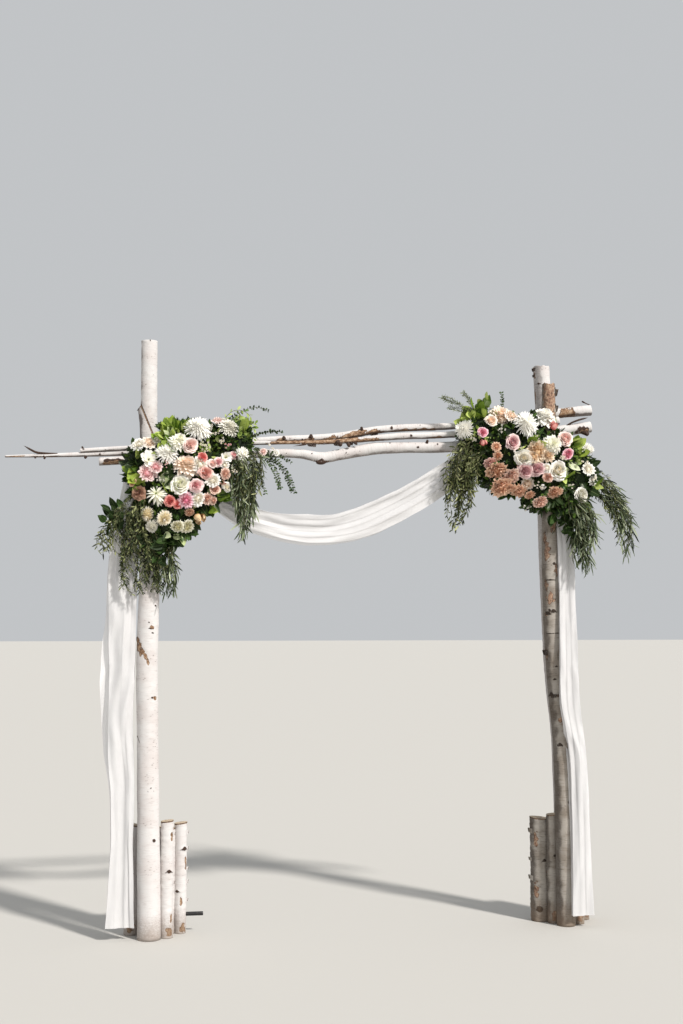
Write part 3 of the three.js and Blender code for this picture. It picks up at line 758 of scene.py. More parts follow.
# %% Steel bar
steel, steel_tree, steel_shader, _ = finish("black_painted_steel")
steel_place = node(steel_tree, "TexCoord", out="Object")
paint_wear = node(steel_tree, "TexNoise", {"Vector": steel_place, "Scale": per(6), "Detail": 4.0})
paint = layered(steel_tree, "#141416", [(paint_wear, 0.58, 0.72, 1.0, "#4A3A30")])
fill(steel_tree, steel_shader, {"Base Color": paint, "Roughness": 0.45})
BAR = [(-862, 0), (-862, 7.5), (-861, 9), (-859, 9.5), (-790, 9.5), (-725, 9.5), (-719, 9.5), (-717, 8),
       (-716.6, 0)]
bar_x, bar_r = np.array(BAR).T[:, :, None]
bar_angle = circle(28)
bar_points = stacked(bar_x, BAR_MIDDLE[1] + bar_r * np.cos(bar_angle),
                     BAR_MIDDLE[2] - bar_r * np.sin(bar_angle))
piece("steel_foot_bar", [grid(bar_points, wrap=True)], [steel], ["left_foot_bar"])

# %% [markdown]
# ## Chiffon
# The swag and the two side drapes are lengths of sheer white chiffon about 62 cm wide, folded over
# on themselves and gathered under the flowers. A cloth simulation would find its own folds; here
# the folds are drawn, so that they run where the real ones do, and each row of the grid is made
# just deep enough in its pleats to use up the cloth's whole width, as real cloth must.

# %% Pleats that use up the cloth
CLOTH_WIDTH = 620.0
CLOTH_COLUMNS = 200


def fall(stations, layers, folds, seed, rows, columns, flap, creases):
    """A strip folded zigzag into an even number of layers, both its edges on one side. Each row is
    centre + across W z(v) + front (base(v) + A f(z)): z is the zigzag, rounded by a cosine, and f a
    sum of two sines whose phases drift along the fall. In front A is small. Behind it is chosen for
    each row so that its length is CLOTH_WIDTH. The flap (share, middle, spread) is where the front
    layers stop short and the last one shows alone. A crease (place across, depth) runs down the
    whole fall, steep on one side and easy on the other."""
    centre, size = through(stations, rows)
    _, across, front = axes_along(centre)
    length = np.linalg.norm(np.diff(centre, axis=0), axis=1).sum()
    s = np.linspace(0, 1, rows)[:, None]
    v = np.linspace(0, 1, columns)[None, :]
    p = layers * v
    back = np.clip((p - 1) / 0.5, 0, 1)
    last = np.clip((p - layers + 1) / 0.6, 0, 1)
    zigzag = 1 - 2 * np.abs((p + 1) % 2 - 1)
    over = 0.86 * zigzag + 0.14 * np.cos(np.pi * p)
    short = flap[0] * np.exp(-((s - flap[1]) / flap[2]) ** 2)
    over = over - (over + 1) * short * (1 - last)
    line = stacked(s * length, 60 * v, 0.0)
    wide = size[:, :1] * over * (1 + 0.06 * drift(line, 420, seed))
    first = 0.9 * drift(line, 1100, seed + 1)
    second = 1.1 * drift(line, 700, seed + 2)
    waves = np.sin(np.pi * (folds * over + first)) + 0.45 * np.sin(np.pi * (2.3 * folds * over + second))
    base = size[:, 1:] * 0.66 * (0.5 - v) + 0.8 * drift(line, 600, seed + 3)
    soft = 4.4 + 1.6 * drift(line, 700, seed + 4)
    for order, (way, depth) in enumerate(creases):
        way = way + 0.10 * drift(line, 1200, seed + 5 + order)
        depth = depth * np.clip(0.65 + 0.9 * drift(line, 900, seed + 12 + order), 0.1, 1.1)
        base = base - depth * np.exp(-((over - way) / np.where(over < way, 0.05, 0.24)) ** 2)
    depths = np.linspace(0, 40, 21)

    def row_depth(depth):
        """How far each point stands in front of the middle, for one depth of the back pleats."""
        return base - 0.8 * depth * back + (soft + depth * (0.16 + 0.84 * back)) * waves

    def arc(depth):
        """The length of each row for one depth of pleat."""
        line = np.stack([wide, row_depth(depth)], -1)
        return np.linalg.norm(np.diff(line, axis=1), axis=-1).sum(1)

    lengths = np.stack([arc(depth) for depth in depths], 1)
    chosen = np.array([np.interp(CLOTH_WIDTH, row, depths) for row in lengths])
    kernel = np.hanning(max(rows // 12, 3))
    padded = np.pad(chosen, len(kernel) // 2, mode="edge")
    chosen = np.convolve(padded, kernel / kernel.sum(), "same")[len(kernel) // 2:][:rows][:, None]
    points = (centre[:, None] + across[:, None] * wide[..., None]
              + front[:, None] * row_depth(chosen)[..., None])
    place = stacked(v * CLOTH_WIDTH, s * length, 0.0)
    print(f"pleats {chosen.min():.0f} to {chosen.max():.0f} mm deep, fall {length:.0f} mm long")
    return grid(points, place=place * MM), length


# %% [markdown]
# ## Chiffon's finish
# Chiffon is a sheer plain weave of fine crepe-twisted yarn, so it is dull, a little crinkled, and
# light passes through it: folds lit from behind glow, and one layer alone shows what is behind it.

# %% Chiffon
chiffon, chiffon_tree, chiffon_shader, chiffon_output = finish("white_silk_chiffon")
thread_place = node(chiffon_tree, "Attribute", attribute_name="place", out="Vector")
crepe_place = node(chiffon_tree, "Mapping", {"Vector": thread_place, "Scale": (1, 0.12, 1)})
crepe = node(chiffon_tree, "TexNoise", {"Vector": crepe_place, "Scale": per(5), "Detail": 3.0})
cloud = node(chiffon_tree, "TexNoise", {"Vector": thread_place, "Scale": per(160), "Detail": 2.0})
weave = node(chiffon_tree, "TexNoise", {"Vector": thread_place, "Scale": per(1.5), "Detail": 2.0})
chiffon_colour = layered(chiffon_tree, "#F4F3F3", [(cloud, 0.3, 0.7, 1.0, "#EEEDED"),
                                                   (crepe, 0.45, 0.75, 0.35, "#E6E5E5")])
chiffon_relief = node(chiffon_tree, "Math", {0: weave, 1: 0.35, 2: crepe}, operation="MULTIPLY_ADD")
chiffon_rise = node(chiffon_tree, "Bump", {"Height": chiffon_relief, "Strength": 0.35, "Distance": 1.2 * MM})
fill(chiffon_tree, chiffon_shader, {"Base Color": chiffon_colour, "Roughness": 0.9, "Sheen Weight": 0.25,
                                    "Specular IOR Level": 0.2, "Sheen Roughness": 0.4,
                                    "Normal": chiffon_rise})
chiffon_body = see_through(chiffon_tree, chiffon_shader, chiffon_output, chiffon_colour, 0.30)
chiffon_clear = node(chiffon_tree, "BsdfTransparent")
chiffon_sheer = node(chiffon_tree, "MixShader", {0: 0.12, 1: chiffon_body, 2: chiffon_clear})
chiffon_tree.links.new(chiffon_sheer, chiffon_output.inputs["Surface"])

# %% [markdown]
# ## Hanging the chiffon
# The swag dips between the two clusters, lower on the left. The left drape blows out a little to
# the left halfway down. The right one hangs straight beside its post.

# %% Swag and drapes
CLOTHS = {
    "swag": dict(
        stations=[[-905, -96, 2225, 30, 26], [-790, -82, 2140, 32, 28], [-658, -78, 2052, 36, 30],
                  [-525, -72, 1985, 56, 33], [-380, -68, 1944, 66, 34], [-231, -66, 1929, 75, 34],
                  [-90, -66, 1934, 74, 34], [50, -66, 1972, 77, 34], [200, -68, 2041, 78, 33],
                  [330, -70, 2112, 76, 32], [450, -74, 2190, 68, 30], [600, -80, 2290, 46, 28],
                  [740, -84, 2366, 34, 26]],
        layers=4, folds=1.3, flap=(0.10, 0.35, 0.22), held="gathered", rows=300,
        creases=((-0.62, 3.0), (-0.25, 4.5), (0.12, 3.0), (0.55, 4.0))),
    "left_drape": dict(
        stations=[[-1072, -96, 2200, 34, 24], [-1108, -80, 1900, 62, 27], [-1117, -72, 1705, 73, 29],
                  [-1122, -70, 1520, 75, 30], [-1132, -70, 1300, 82, 30], [-1136, -72, 1112, 80, 30],
                  [-1125, -76, 880, 72, 29], [-1106, -80, 690, 56, 28], [-1104, -82, 420, 52, 28],
                  [-1108, -84, 60, 66, 30]],
        layers=4, folds=1.1, flap=(0.27, 0.52, 0.20), held="hung", rows=330,
        creases=((-0.62, 7), (-0.15, 3.5), (0.45, 5))),
    "right_drape": dict(
        stations=[[1046, -100, 2180, 32, 22], [1061, -104, 1890, 41, 24], [1062, -114, 1590, 43, 24],
                  [1062, -126, 1340, 45, 24], [1064, -130, 1088, 50, 24], [1094, -132, 850, 49, 24],
                  [1108, -133, 520, 46, 24], [1114, -134, 60, 55, 25]],
        layers=6, folds=0.9, flap=(0.10, 0.75, 0.2), held="hung", rows=330,
        creases=((-0.30, 5), (0.35, 5))),
}
cloth_pieces = {}
for order, (name, cloth) in enumerate(CLOTHS.items()):
    surface, length = fall(cloth["stations"], cloth["layers"], cloth["folds"], 200 + 10 * order,
                           cloth["rows"], CLOTH_COLUMNS, cloth["flap"], cloth["creases"])
    made = piece(f"{name}_chiffon", [surface], [chiffon], [name])
    cloth_pieces[name] = (made, (CLOTH_WIDTH * MM, length * MM), cloth["held"])

# %% [markdown]
# ## Leaves and petals as bent strips
# A leaf and a petal are the same kind of thing: a strip that swells and closes again, bends along
# its length and cups across its width. One function makes any number of them at once, from arrays
# of lengths, widths and bends, with a few dozen faces each.

# %% Strips
def frames(out, top):
    """Square axes for each row: out, side = top x out, and out x side."""
    out = unit(out)
    side = unit(np.cross(top, out))
    return np.stack([out, side, np.cross(out, side)], -2)


def put(points, axes, base):
    """Local grids (k, nu, nv, 3) turned to their axes and carried to their bases."""
    return np.einsum("kuvi,kij->kuvj", points, axes) + base[:, None, None, :]


def strips(length, width, outline, bend, cup, twist, wave, phase, rows, columns):
    """k strips. u runs from stalk to tip and v across, -1 to 1. The midrib is an arc that turns by
    bend; the half width is u^a (1-u)^b, scaled to its peak; the section rises by cup v^2, ripples
    by wave at its edges, and turns by twist u."""
    k = len(length)
    length, width, bend, cup, twist, wave, phase = (
        np.broadcast_to(np.asarray(x, float), (k,))[:, None, None]
        for x in (length, width, bend, cup, twist, wave, phase))
    u = np.linspace(0, 1, rows)[None, :, None]
    v = np.linspace(-1, 1, columns)[None, None, :]
    a, b = outline
    peak = (a / (a + b)) ** a * (b / (a + b)) ** b
    half = np.maximum(u ** a * (1 - u) ** b / peak, 0.05) * width / 2
    bend = np.where(np.abs(bend) < 1e-3, 1e-3, bend)
    turn = bend * u
    ripple = wave * length * np.sin(11 * u + 2.6 * np.sign(v) + phase) * np.abs(v) * u
    lift = half * cup * v ** 2 + ripple
    roll = twist * u
    side = v * half * np.cos(roll) - lift * np.sin(roll)
    high = v * half * np.sin(roll) + lift * np.cos(roll)
    forward = length * np.sin(turn) / bend - high * np.sin(turn)
    points = stacked(forward, side, length * (1 - np.cos(turn)) / bend + high * np.cos(turn))
    return points, stacked(u, v, phase)


def shades(codes, count, rng, jitter=0.15):
    """count colours picked at random along the line through some hex colours, a little lighter or
    darker each."""
    colours = np.stack([linear(c) for c in codes])
    at = rng.uniform(0, len(codes) - 1, count)
    i = np.minimum(at.astype(int), len(codes) - 2)
    picked = blend(colours[i], colours[i + 1], (at - i)[:, None])
    picked[:, :3] *= 1 + jitter * rng.normal(size=(count, 1))
    return np.clip(picked, 0, 1)


# %% [markdown]
# ## Kinds of leaf
# The clusters hold broad glossy salal leaves, small oval filler leaves, and five kinds that hang or
# spray: willow and round-leaved eucalyptus, olive, a fine green one and a grey wispy one. Each has
# its usual length, its width as a share of that, the outline's two powers, and its greens in light
# and shade.

# %% Leaf kinds
LEAF_KINDS = {
    "salal": dict(length=(48, 76), ratio=0.64, outline=(0.5, 0.8), bend=(-0.2, 0.9), cup=0.22, rows=8,
                  columns=5, colours=["#4E6E1E", "#A2B848", "#C8D67A", "#84A038", "#2E4814"]),
    "pale_salal": dict(length=(46, 72), ratio=0.58, outline=(0.5, 0.8), bend=(-0.1, 0.6), cup=0.18,
                       rows=8, columns=5, colours=["#BCCA8C", "#D6E2AC", "#ECF2D2"]),
    "dark_salal": dict(length=(44, 72), ratio=0.54, outline=(0.5, 0.8), bend=(-0.3, 0.8), cup=0.2,
                       rows=7, columns=5, colours=["#1A2A10", "#2B4018", "#44602A"]),
    "filler": dict(length=(20, 40), ratio=0.44, outline=(0.6, 0.6), bend=(-0.5, 0.9), cup=0.25, rows=5,
                   columns=3, colours=["#111D0A", "#1D2E10", "#33491A", "#6A8A36"]),
    "light_filler": dict(length=(18, 34), ratio=0.46, outline=(0.6, 0.55), bend=(-0.4, 0.8), cup=0.25,
                         rows=5, columns=3, colours=["#5E7C30", "#A0B656", "#CEDA90"]),
    "olive": dict(length=(26, 46), ratio=0.19, outline=(0.7, 0.7), bend=(-1.0, 1.0), cup=0.2, rows=5,
                  columns=3, colours=["#181E0E", "#343C1E", "#646B3C", "#B8BA88"]),
    "fine": dict(length=(13, 25), ratio=0.27, outline=(0.7, 0.6), bend=(-0.6, 0.8), cup=0.2, rows=4,
                 columns=3, colours=["#11190B", "#253016", "#4C5730", "#AEB27C"]),
    "willow": dict(length=(44, 82), ratio=0.10, outline=(0.8, 0.8), bend=(-1.0, 1.0), cup=0.3, rows=6,
                   columns=3, colours=["#1A2412", "#364326", "#6A7658", "#BEC6A4"]),
    "round": dict(length=(11, 17), ratio=0.72, outline=(0.5, 0.45), bend=(-0.3, 0.5), cup=0.15, rows=5,
                  columns=3, colours=["#26361F", "#3C5030", "#5E6F4C"]),
    "wisp": dict(length=(10, 20), ratio=0.22, outline=(0.7, 0.6), bend=(-0.4, 0.5), cup=0.2, rows=4,
                 columns=3, colours=["#5C6650", "#858D70", "#B4B9A0"]),
}


# %% [markdown]
# ## Leaves and stems
# A leaf of any kind grows from a base, along a way out, with its upper side towards another way. A
# stem is five-sided, and its leaves turn to one side and then to the other.

# %% Leaves and stems
def leaves(kind, base, out, top, rng, scale=1.0):
    """One leaf of a kind at each base, growing along out with its upper side towards top. The tint
    pales slightly towards the tip."""
    spec = LEAF_KINDS[kind]
    k = len(base)
    length = rng.uniform(*spec["length"], k) * scale
    width = length * spec["ratio"] * rng.uniform(0.85, 1.15, k)
    points, place = strips(length, width, spec["outline"], rng.uniform(*spec["bend"], k), spec["cup"],
                           rng.normal(0, 0.35, k), 0.02, rng.uniform(0, 6, k), spec["rows"], spec["columns"])
    tint = shades(spec["colours"], k, rng)[:, None, None, :]
    tint = tint * blend(0.88, 1.10, place[..., :1])
    return grid(put(points, frames(out, top), base), tint=np.clip(tint, 0, 1), place=place)


def stems(paths, radius, colour):
    """Round stems along paths (k, n, 3), five-sided and drawn in to a point at both ends."""
    tangent = unit(np.gradient(paths, axis=1))
    side = unit(np.cross(tangent, [0.3, 1.0, 0.2]))
    other = np.cross(side, tangent)
    closing = np.ones(paths.shape[1])
    closing[0], closing[-1] = 0.1, 0.1
    ring = around(side[:, :, None], other[:, :, None], circle(5))
    points = paths[:, :, None] + ring * radius * closing[:, None, None]
    place = np.zeros(points.shape)
    return grid(points, wrap=True, tint=linear(colour), place=place)


def leafy(kind, paths, rng, angle, each):
    """Leaves along stems: each of them at every point, turned from the tip's way by angle to one
    side and then to the other, with the upper sides turned partly to the front."""
    tangent = unit(np.gradient(paths, axis=1))
    side = unit(np.cross(tangent, unit(rng.normal(size=(len(paths), 1, 3)) + [0, 0.8, 0])))
    paths, tangent, side = (np.repeat(a, each, axis=1)[:, each:] for a in (paths, tangent, side))
    shape = paths.shape[:2]
    turn = (np.arange(shape[1])[None, :] % 2) * np.pi + rng.normal(0, 0.45, shape)
    away = side * np.cos(turn)[..., None] + np.cross(tangent, side) * np.sin(turn)[..., None]
    lean = np.radians(angle + rng.normal(0, 10, shape))[..., None]
    out = tangent * np.cos(lean) + away * np.sin(lean)
    top = rng.normal(size=shape + (3,)) * 0.6 + np.array([0.2, -1.2, 0.7])
    return leaves(kind, *(a.reshape(-1, 3) for a in (paths, out, top)), rng)


# %% [markdown]
# ## Leaf and petal finishes
# A leaf is waxy: mid gloss, with a paler midrib and fine side veins, and it glows yellow-green
# where light comes through. A petal is matt and soft, with faint streaks from base to tip, and
# lets less light through. The colour of each one is a value kept at its points.

# %% Leaf and petal finish
def leaf_finish(name, gloss, vein_strength):
    """Waxy leaf skin over the tint, with a midrib at v = 0 and side veins that slant to the tip."""
    material, tree, shader, output = finish(name)
    tint = node(tree, "Attribute", attribute_name="tint", out="Color")
    place = node(tree, "Attribute", attribute_name="place", out="Vector")
    u, v = (node(tree, "SeparateXYZ", {0: place}, out=axis) for axis in ("X", "Y"))
    beside = node(tree, "Math", {0: v}, operation="ABSOLUTE")
    along = node(tree, "Math", {0: u, 1: 44.0}, operation="MULTIPLY")
    slant = node(tree, "Math", {0: beside, 1: -3.0, 2: along}, operation="MULTIPLY_ADD")
    wave = node(tree, "Math", {0: slant}, operation="SINE")
    vein, rib = (
        node(tree, "MapRange", {"Value": value, "From Min": low, "From Max": high, "To Max": top}, **SMOOTH)
        for value, low, high, top in ((wave, 0.75, 1.0, 0.5), (beside, 0.13, 0.02, 1.0)))
    faint = node(tree, "Math", {0: vein, 1: 0.35}, operation="MULTIPLY")
    both = node(tree, "Math", {0: faint, 1: rib}, operation="MAXIMUM")
    lines = node(tree, "Math", {0: both, 1: vein_strength}, operation="MULTIPLY")
    blotch = node(tree, "TexNoise", {"Vector": node(tree, "TexCoord", out="Object"), "Scale": per(18)})
    colour = node(tree, "Mix", {0: lines, 6: tint, 7: "#B9C88E"}, **COLOURS)
    colour = layered(tree, colour, [(blotch, 0.45, 0.75, 0.25, "#22371A")])
    rise = node(tree, "Bump", {"Height": lines, "Strength": 0.4, "Distance": 0.6 * MM})
    fill(tree, shader, {"Base Color": colour, "Roughness": gloss, "Specular IOR Level": 0.26, "Normal": rise})
    see_through(tree, shader, output, colour, 0.26)
    return material


salal_skin = leaf_finish("waxy_salal_leaf", 0.38, 0.28)
sage_skin = leaf_finish("matt_eucalyptus_leaf", 0.55, 0.15)

petal_skin, petal_tree, petal_shader, petal_output = finish("soft_flower_petal")
petal_tint = node(petal_tree, "Attribute", attribute_name="tint", out="Color")
petal_place = node(petal_tree, "Attribute", attribute_name="place", out="Vector")
petal_lines = node(petal_tree, "Mapping", {"Vector": petal_place, "Scale": (0.6, 5.0, 1.0)})
petal_streak = node(petal_tree, "TexNoise", {"Vector": petal_lines, "Scale": 2.2, "Detail": 3.0})
petal_dark = node(petal_tree, "Mix", {0: 1.0, 6: petal_tint, 7: "#EBD8CE"}, blend_type="MULTIPLY",
                  **COLOURS)
petal_colour = layered(petal_tree, petal_tint, [(petal_streak, 0.45, 0.75, 0.18, petal_dark)])
petal_rise = node(petal_tree, "Bump", {"Height": petal_streak, "Strength": 0.2, "Distance": 0.4 * MM})
fill(petal_tree, petal_shader, {"Base Color": petal_colour, "Roughness": 0.62, "Sheen Weight": 0.15,
                                "Specular IOR Level": 0.25, "Normal": petal_rise})
see_through(petal_tree, petal_shader, petal_output, petal_colour, 0.12)

# %% [markdown]
# ## The foam behind the flowers
# Florists push stems into blocks of wet foam, tied to the poles and hidden with moss. The foam is
# a set of lumpy ellipsoids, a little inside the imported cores, and the places where leaves grow are
# picked on the same shapes, outside all their neighbours.

# %% Foam and moss
CORES = {
    "left": np.array([[-822, -84, 2190, 268, 102, 262], [-620, -78, 2352, 112, 84, 98],
                      [-1026, -80, 2200, 84, 82, 186], [-905, -92, 1965, 132, 82, 108]], float),
    "right": np.array([[820, -84, 2330, 262, 102, 176], [1000, -82, 2240, 178, 98, 200],
                       [640, -80, 2400, 112, 82, 104], [1120, -80, 2215, 104, 78, 156],
                       [950, -90, 2112, 108, 78, 86], [738, -88, 2196, 112, 82, 84]], float),
}
FOAM_SHARE = 0.84
# The moss is drawn nearly black: partly dark moss, partly painted shade in the gaps between the leaves and
# blooms.
moss, moss_tree, moss_shader, _ = finish("dark_moss_and_painted_shade")
moss_place = node(moss_tree, "TexCoord", out="Object")
moss_fluff = node(moss_tree, "TexNoise", {"Vector": moss_place, "Scale": per(9), "Detail": 5.0})
moss_tone = node(moss_tree, "TexNoise", {"Vector": moss_place, "Scale": per(60), "Detail": 2.0})
moss_colour = layered(moss_tree, "#0F1A0A", [(moss_tone, 0.35, 0.65, 1.0, "#1E2C12"),
                                             (moss_fluff, 0.5, 0.7, 0.6, "#0C150A")])
moss_rise = node(moss_tree, "Bump", {"Height": moss_fluff, "Strength": 0.9, "Distance": 5.0 * MM})
fill(moss_tree, moss_shader, {"Base Color": moss_colour, "Roughness": 1.0, "Normal": moss_rise})


def foam(masses, seed):
    """Each mass as a sphere's grid, stretched to its half sizes and roughened by drift."""
    sphere = dome(np.pi, 34, 44)
    made = []
    for mass in masses:
        points = mass[:3] + sphere * mass[3:] * FOAM_SHARE
        lumps = 9 * drift(points, 80, seed)[..., None] * unit(sphere)
        made.append(grid(points + lumps, wrap=True))
    return made


# %% [markdown]
# ## Where leaves grow
# The ways out are picked evenly round every mass. A place inside a neighbour is dropped, and so is
# one where the real clusters have no leaves.

# %% Places on the foam
def bare(side, x, z):
    """True where the real clusters have no leaves: beside the left post's cut top, and under the
    slanting lower edges, which rise to the right on the left cluster and fall on the right one."""
    if side == "left":
        return ((x < -955) & (z > 2325)) | ((z < 1975 + 0.78 * (x + 740)) & (x > -780))
    return (z < 2137 - 0.5 * (x - 690)) & (x < 930)


def on_foam(side, count, rng):
    """count points on a cluster's masses, and the ways out there, none inside another mass or
    where the cluster is bare."""
    masses = CORES[side]
    area = masses[:, 3] * masses[:, 5] + masses[:, 4] * (masses[:, 3] + masses[:, 5])
    which = rng.choice(len(masses), count * 4, p=area / area.sum())
    ball = unit(rng.normal(size=(count * 4, 3)))
    points = masses[which, :3] + ball * masses[which, 3:]
    away = (points[:, None] - masses[None, :, :3]) / (masses[None, :, 3:] * 0.94)
    free = (np.linalg.norm(away, axis=-1) > 1).all(1)
    free &= ~bare(side, points[:, 0], points[:, 2])
    return points[free][:count], unit(ball / masses[which, 3:])[free][:count]


# %% [markdown]
# ## Filling the clusters with leaves
# Small filler leaves cover the foam all round, so the back is as full as the front. Broad salal
# leaves stand in fans at the edges of each cluster, where they frame the blooms. Each fan is a
# place on the arch, a number of leaves, and the way they point.

# %% Cluster leaves
FANS = {
    "left": [
        ("salal", -884, 2408, 7, (-0.1, 1.0)), ("salal", -900, 2350, 8, (-0.7, 0.3)),
        ("pale_salal", -900, 2366, 3, (-0.8, 0.3)), ("salal", -926, 2362, 4, (-0.9, 0.2)),
        ("salal", -840, 2396, 4, (0.5, 0.8)), ("salal", -962, 2268, 3, (0.1, 0.5)),
        ("dark_salal", -862, 2340, 3, (0.3, 0.4)), ("salal", -905, 2330, 3, (-0.6, -0.1)),
        ("dark_salal", -1050, 2230, 5, (-0.5, -0.3)), ("salal", -1050, 2180, 4, (-0.7, -0.2)),
        ("salal", -1050, 2155, 4, (-0.4, -0.6)), ("dark_salal", -1060, 2100, 8, (-0.5, -0.7)),
        ("dark_salal", -1062, 2180, 6, (-0.6, -0.3)), ("salal", -1030, 2205, 4, (-0.4, -0.2)),
        ("dark_salal", -905, 2180, 5, (0.0, 0.4)), ("pale_salal", -925, 2120, 3, (0.4, 0.5)),
        ("salal", -905, 2105, 2, (0.5, 0.1)), ("pale_salal", -706, 2100, 1, (0.6, -0.8)),
        ("salal", -668, 2092, 3, (1.0, -0.1)), ("dark_salal", -655, 2110, 4, (0.8, -0.3)),
        ("salal", -556, 2405, 2, (0.4, 0.6)), ("light_filler", -600, 2400, 34, (0.3, 0.8)),
        ("light_filler", -690, 2335, 26, (0.1, 0.4)), ("light_filler", -725, 2312, 20, (0.0, 0.3)),
        ("light_filler", -545, 2400, 40, (0.5, 0.7)), ("light_filler", -500, 2395, 26, (0.8, 0.4)),
        ("light_filler", -760, 2440, 14, (0.0, 1.0)), ("dark_salal", -745, 2010, 3, (0.5, -0.8)),
        ("salal", -712, 2010, 3, (0.9, -0.2)), ("dark_salal", -690, 2012, 2, (0.7, -0.8)),
        ("pale_salal", -975, 1868, 2, (-0.2, -0.9)), ("pale_salal", -905, 1885, 2, (0.7, -0.4)),
        ("pale_salal", -935, 1800, 2, (0.1, -1.0)), ("salal", -985, 1820, 2, (-0.3, -0.9)),
        ("pale_salal", -846, 1885, 2, (0.2, -0.9)), ("dark_salal", -885, 1860, 10, (0.2, -1.0)),
        ("dark_salal", -930, 1860, 9, (-0.1, -1.0)), ("dark_salal", -830, 1890, 6, (0.3, -1.0)),
        ("salal", -812, 2402, 3, (-0.2, 0.9)), ("dark_salal", -704, 2420, 2, (0.0, 1.0)),
        ("dark_salal", -620, 2395, 5, (0.3, 0.7)),
    ],
    "right": [
        ("salal", 615, 2520, 7, (-0.8, 0.5)), ("salal", 650, 2522, 6, (-0.2, 0.8)),
        ("salal", 665, 2535, 4, (0.6, 0.5)), ("salal", 575, 2500, 6, (-0.9, 0.1)),
        ("salal", 530, 2480, 4, (-0.9, -0.1)), ("light_filler", 530, 2470, 22, (-0.8, 0.2)),
        ("pale_salal", 800, 2530, 2, (0.5, -0.5)), ("salal", 798, 2500, 2, (-0.2, 0.7)),
        ("dark_salal", 870, 2460, 4, (0.3, 0.7)), ("pale_salal", 1025, 2456, 2, (1.0, 0.0)),
        ("salal", 1095, 2375, 5, (0.4, 0.5)), ("salal", 1115, 2345, 5, (0.8, 0.1)),
        ("light_filler", 1110, 2400, 20, (0.4, 0.6)), ("dark_salal", 1145, 2330, 5, (0.9, 0.3)),
        ("pale_salal", 1085, 2270, 3, (0.4, -0.3)), ("pale_salal", 1095, 2220, 3, (0.6, -0.3)),
        ("salal", 1065, 2205, 3, (0.0, -0.5)), ("salal", 1200, 2150, 4, (0.9, -0.1)),
        ("dark_salal", 1150, 2180, 8, (0.5, -0.4)), ("dark_salal", 1180, 2250, 7, (0.9, 0.0)),
        ("light_filler", 560, 2290, 16, (-0.7, -0.2)), ("salal", 850, 2385, 4, (-0.1, 0.5)),
        ("salal", 880, 2368, 3, (0.6, 0.2)), ("pale_salal", 820, 2205, 1, (0.2, -1.0)),
        ("dark_salal", 795, 2105, 5, (-0.2, -1.0)), ("dark_salal", 830, 2100, 4, (0.4, -0.9)),
        ("salal", 1160, 2050, 3, (0.7, -0.5)), ("dark_salal", 690, 2260, 6, (-0.8, -0.2)),
        ("dark_salal", 720, 2400, 5, (-0.2, 0.6)), ("light_filler", 1000, 2120, 18, (0.1, -0.8)),
        ("dark_salal", 1050, 2080, 9, (0.2, -1.0)), ("dark_salal", 970, 2060, 7, (-0.1, -1.0)),
        ("dark_salal", 1010, 2150, 7, (0.1, -0.7)), ("light_filler", 1120, 2290, 18, (0.6, 0.2)),
        ("light_filler", 600, 2400, 14, (-0.4, 0.4)), ("dark_salal", 900, 2510, 5, (0.1, 1.0)),
        ("salal", 725, 2545, 2, (0.2, 1.0)), ("light_filler", 670, 2480, 16, (0.0, 0.8)),
    ],
}

# %% [markdown]
# ## Seating what grows there
# Each fan and bloom starts from the front of the foam, found by solving the ellipsoid for its
# depth. Nothing may stand out by more than a few millimetres, in front or behind, beyond the box
# that the arch was packed in.

# %% Seats on the foam
FRONT_LIMIT, BACK_LIMIT = -222.0, 112.0


def within(surface):
    """Holds a surface's points between two limits, a few millimetres beyond the arch's box."""
    surface["points"][:, 1] = np.clip(surface["points"][:, 1], FRONT_LIMIT, BACK_LIMIT)
    return surface


def seat(side, x, z):
    """The point over x and z on the front of a cluster's masses, and the way out there: the mass
    that comes furthest forward, or its rim where the place is outside them all."""
    masses = CORES[side]
    flat = ((x - masses[:, 0]) / masses[:, 3]) ** 2 + ((z - masses[:, 2]) / masses[:, 5]) ** 2
    y = masses[:, 1] - masses[:, 4] * np.sqrt(np.clip(1 - flat, 0.02, 1))
    best = np.argmin(np.where(flat < 1, y, 500 + flat))
    point = np.array([x, y[best], z])
    return point, unit((point - masses[best, :3]) / masses[best, 3:] ** 2)


def held(side, points):
    """Points that lie outside every mass of a cluster, brought in to the nearest one's surface."""
    masses = CORES[side]
    away = (points[:, None] - masses[:, :3]) / masses[:, 3:]
    reach = np.linalg.norm(away, axis=-1)
    best = reach.argmin(1)
    nearest, far = masses[best], reach.min(1)[:, None]
    return nearest[:, :3] + (points - nearest[:, :3]) / np.maximum(far / 0.97, 1)


# %% [markdown]
# ## Growing the leaves
# A fan is a handful of leaves from about one place. The filler is thousands of small ones, more
# nearly flat to the foam in front, so that they don't hide the blooms.

# %% Growing the leaves
FILLERS_EACH_SIDE = 2600


def fan(side, kind, x, z, count, way, rng):
    """count leaves from about one place on the cluster: bases spread wider the more there are,
    ways round the fan's own, leaning out from the foam."""
    point, outward = seat(side, x, z)
    spread = rng.normal(size=(count, 3)) * [26, 14, 26] * np.sqrt(np.clip(count / 8, 0, 1))
    base = held(side, point + spread) - outward * 8
    out = unit(np.array([way[0], 0, way[1]]) + rng.normal(size=(count, 3)) * [0.55, 0.25, 0.55]
               + outward * 0.35)
    top = outward * 1.2 + np.array([0.15, -0.9, 0.7]) + rng.normal(size=(count, 3)) * 0.35
    return leaves(kind, base, out, top, rng)


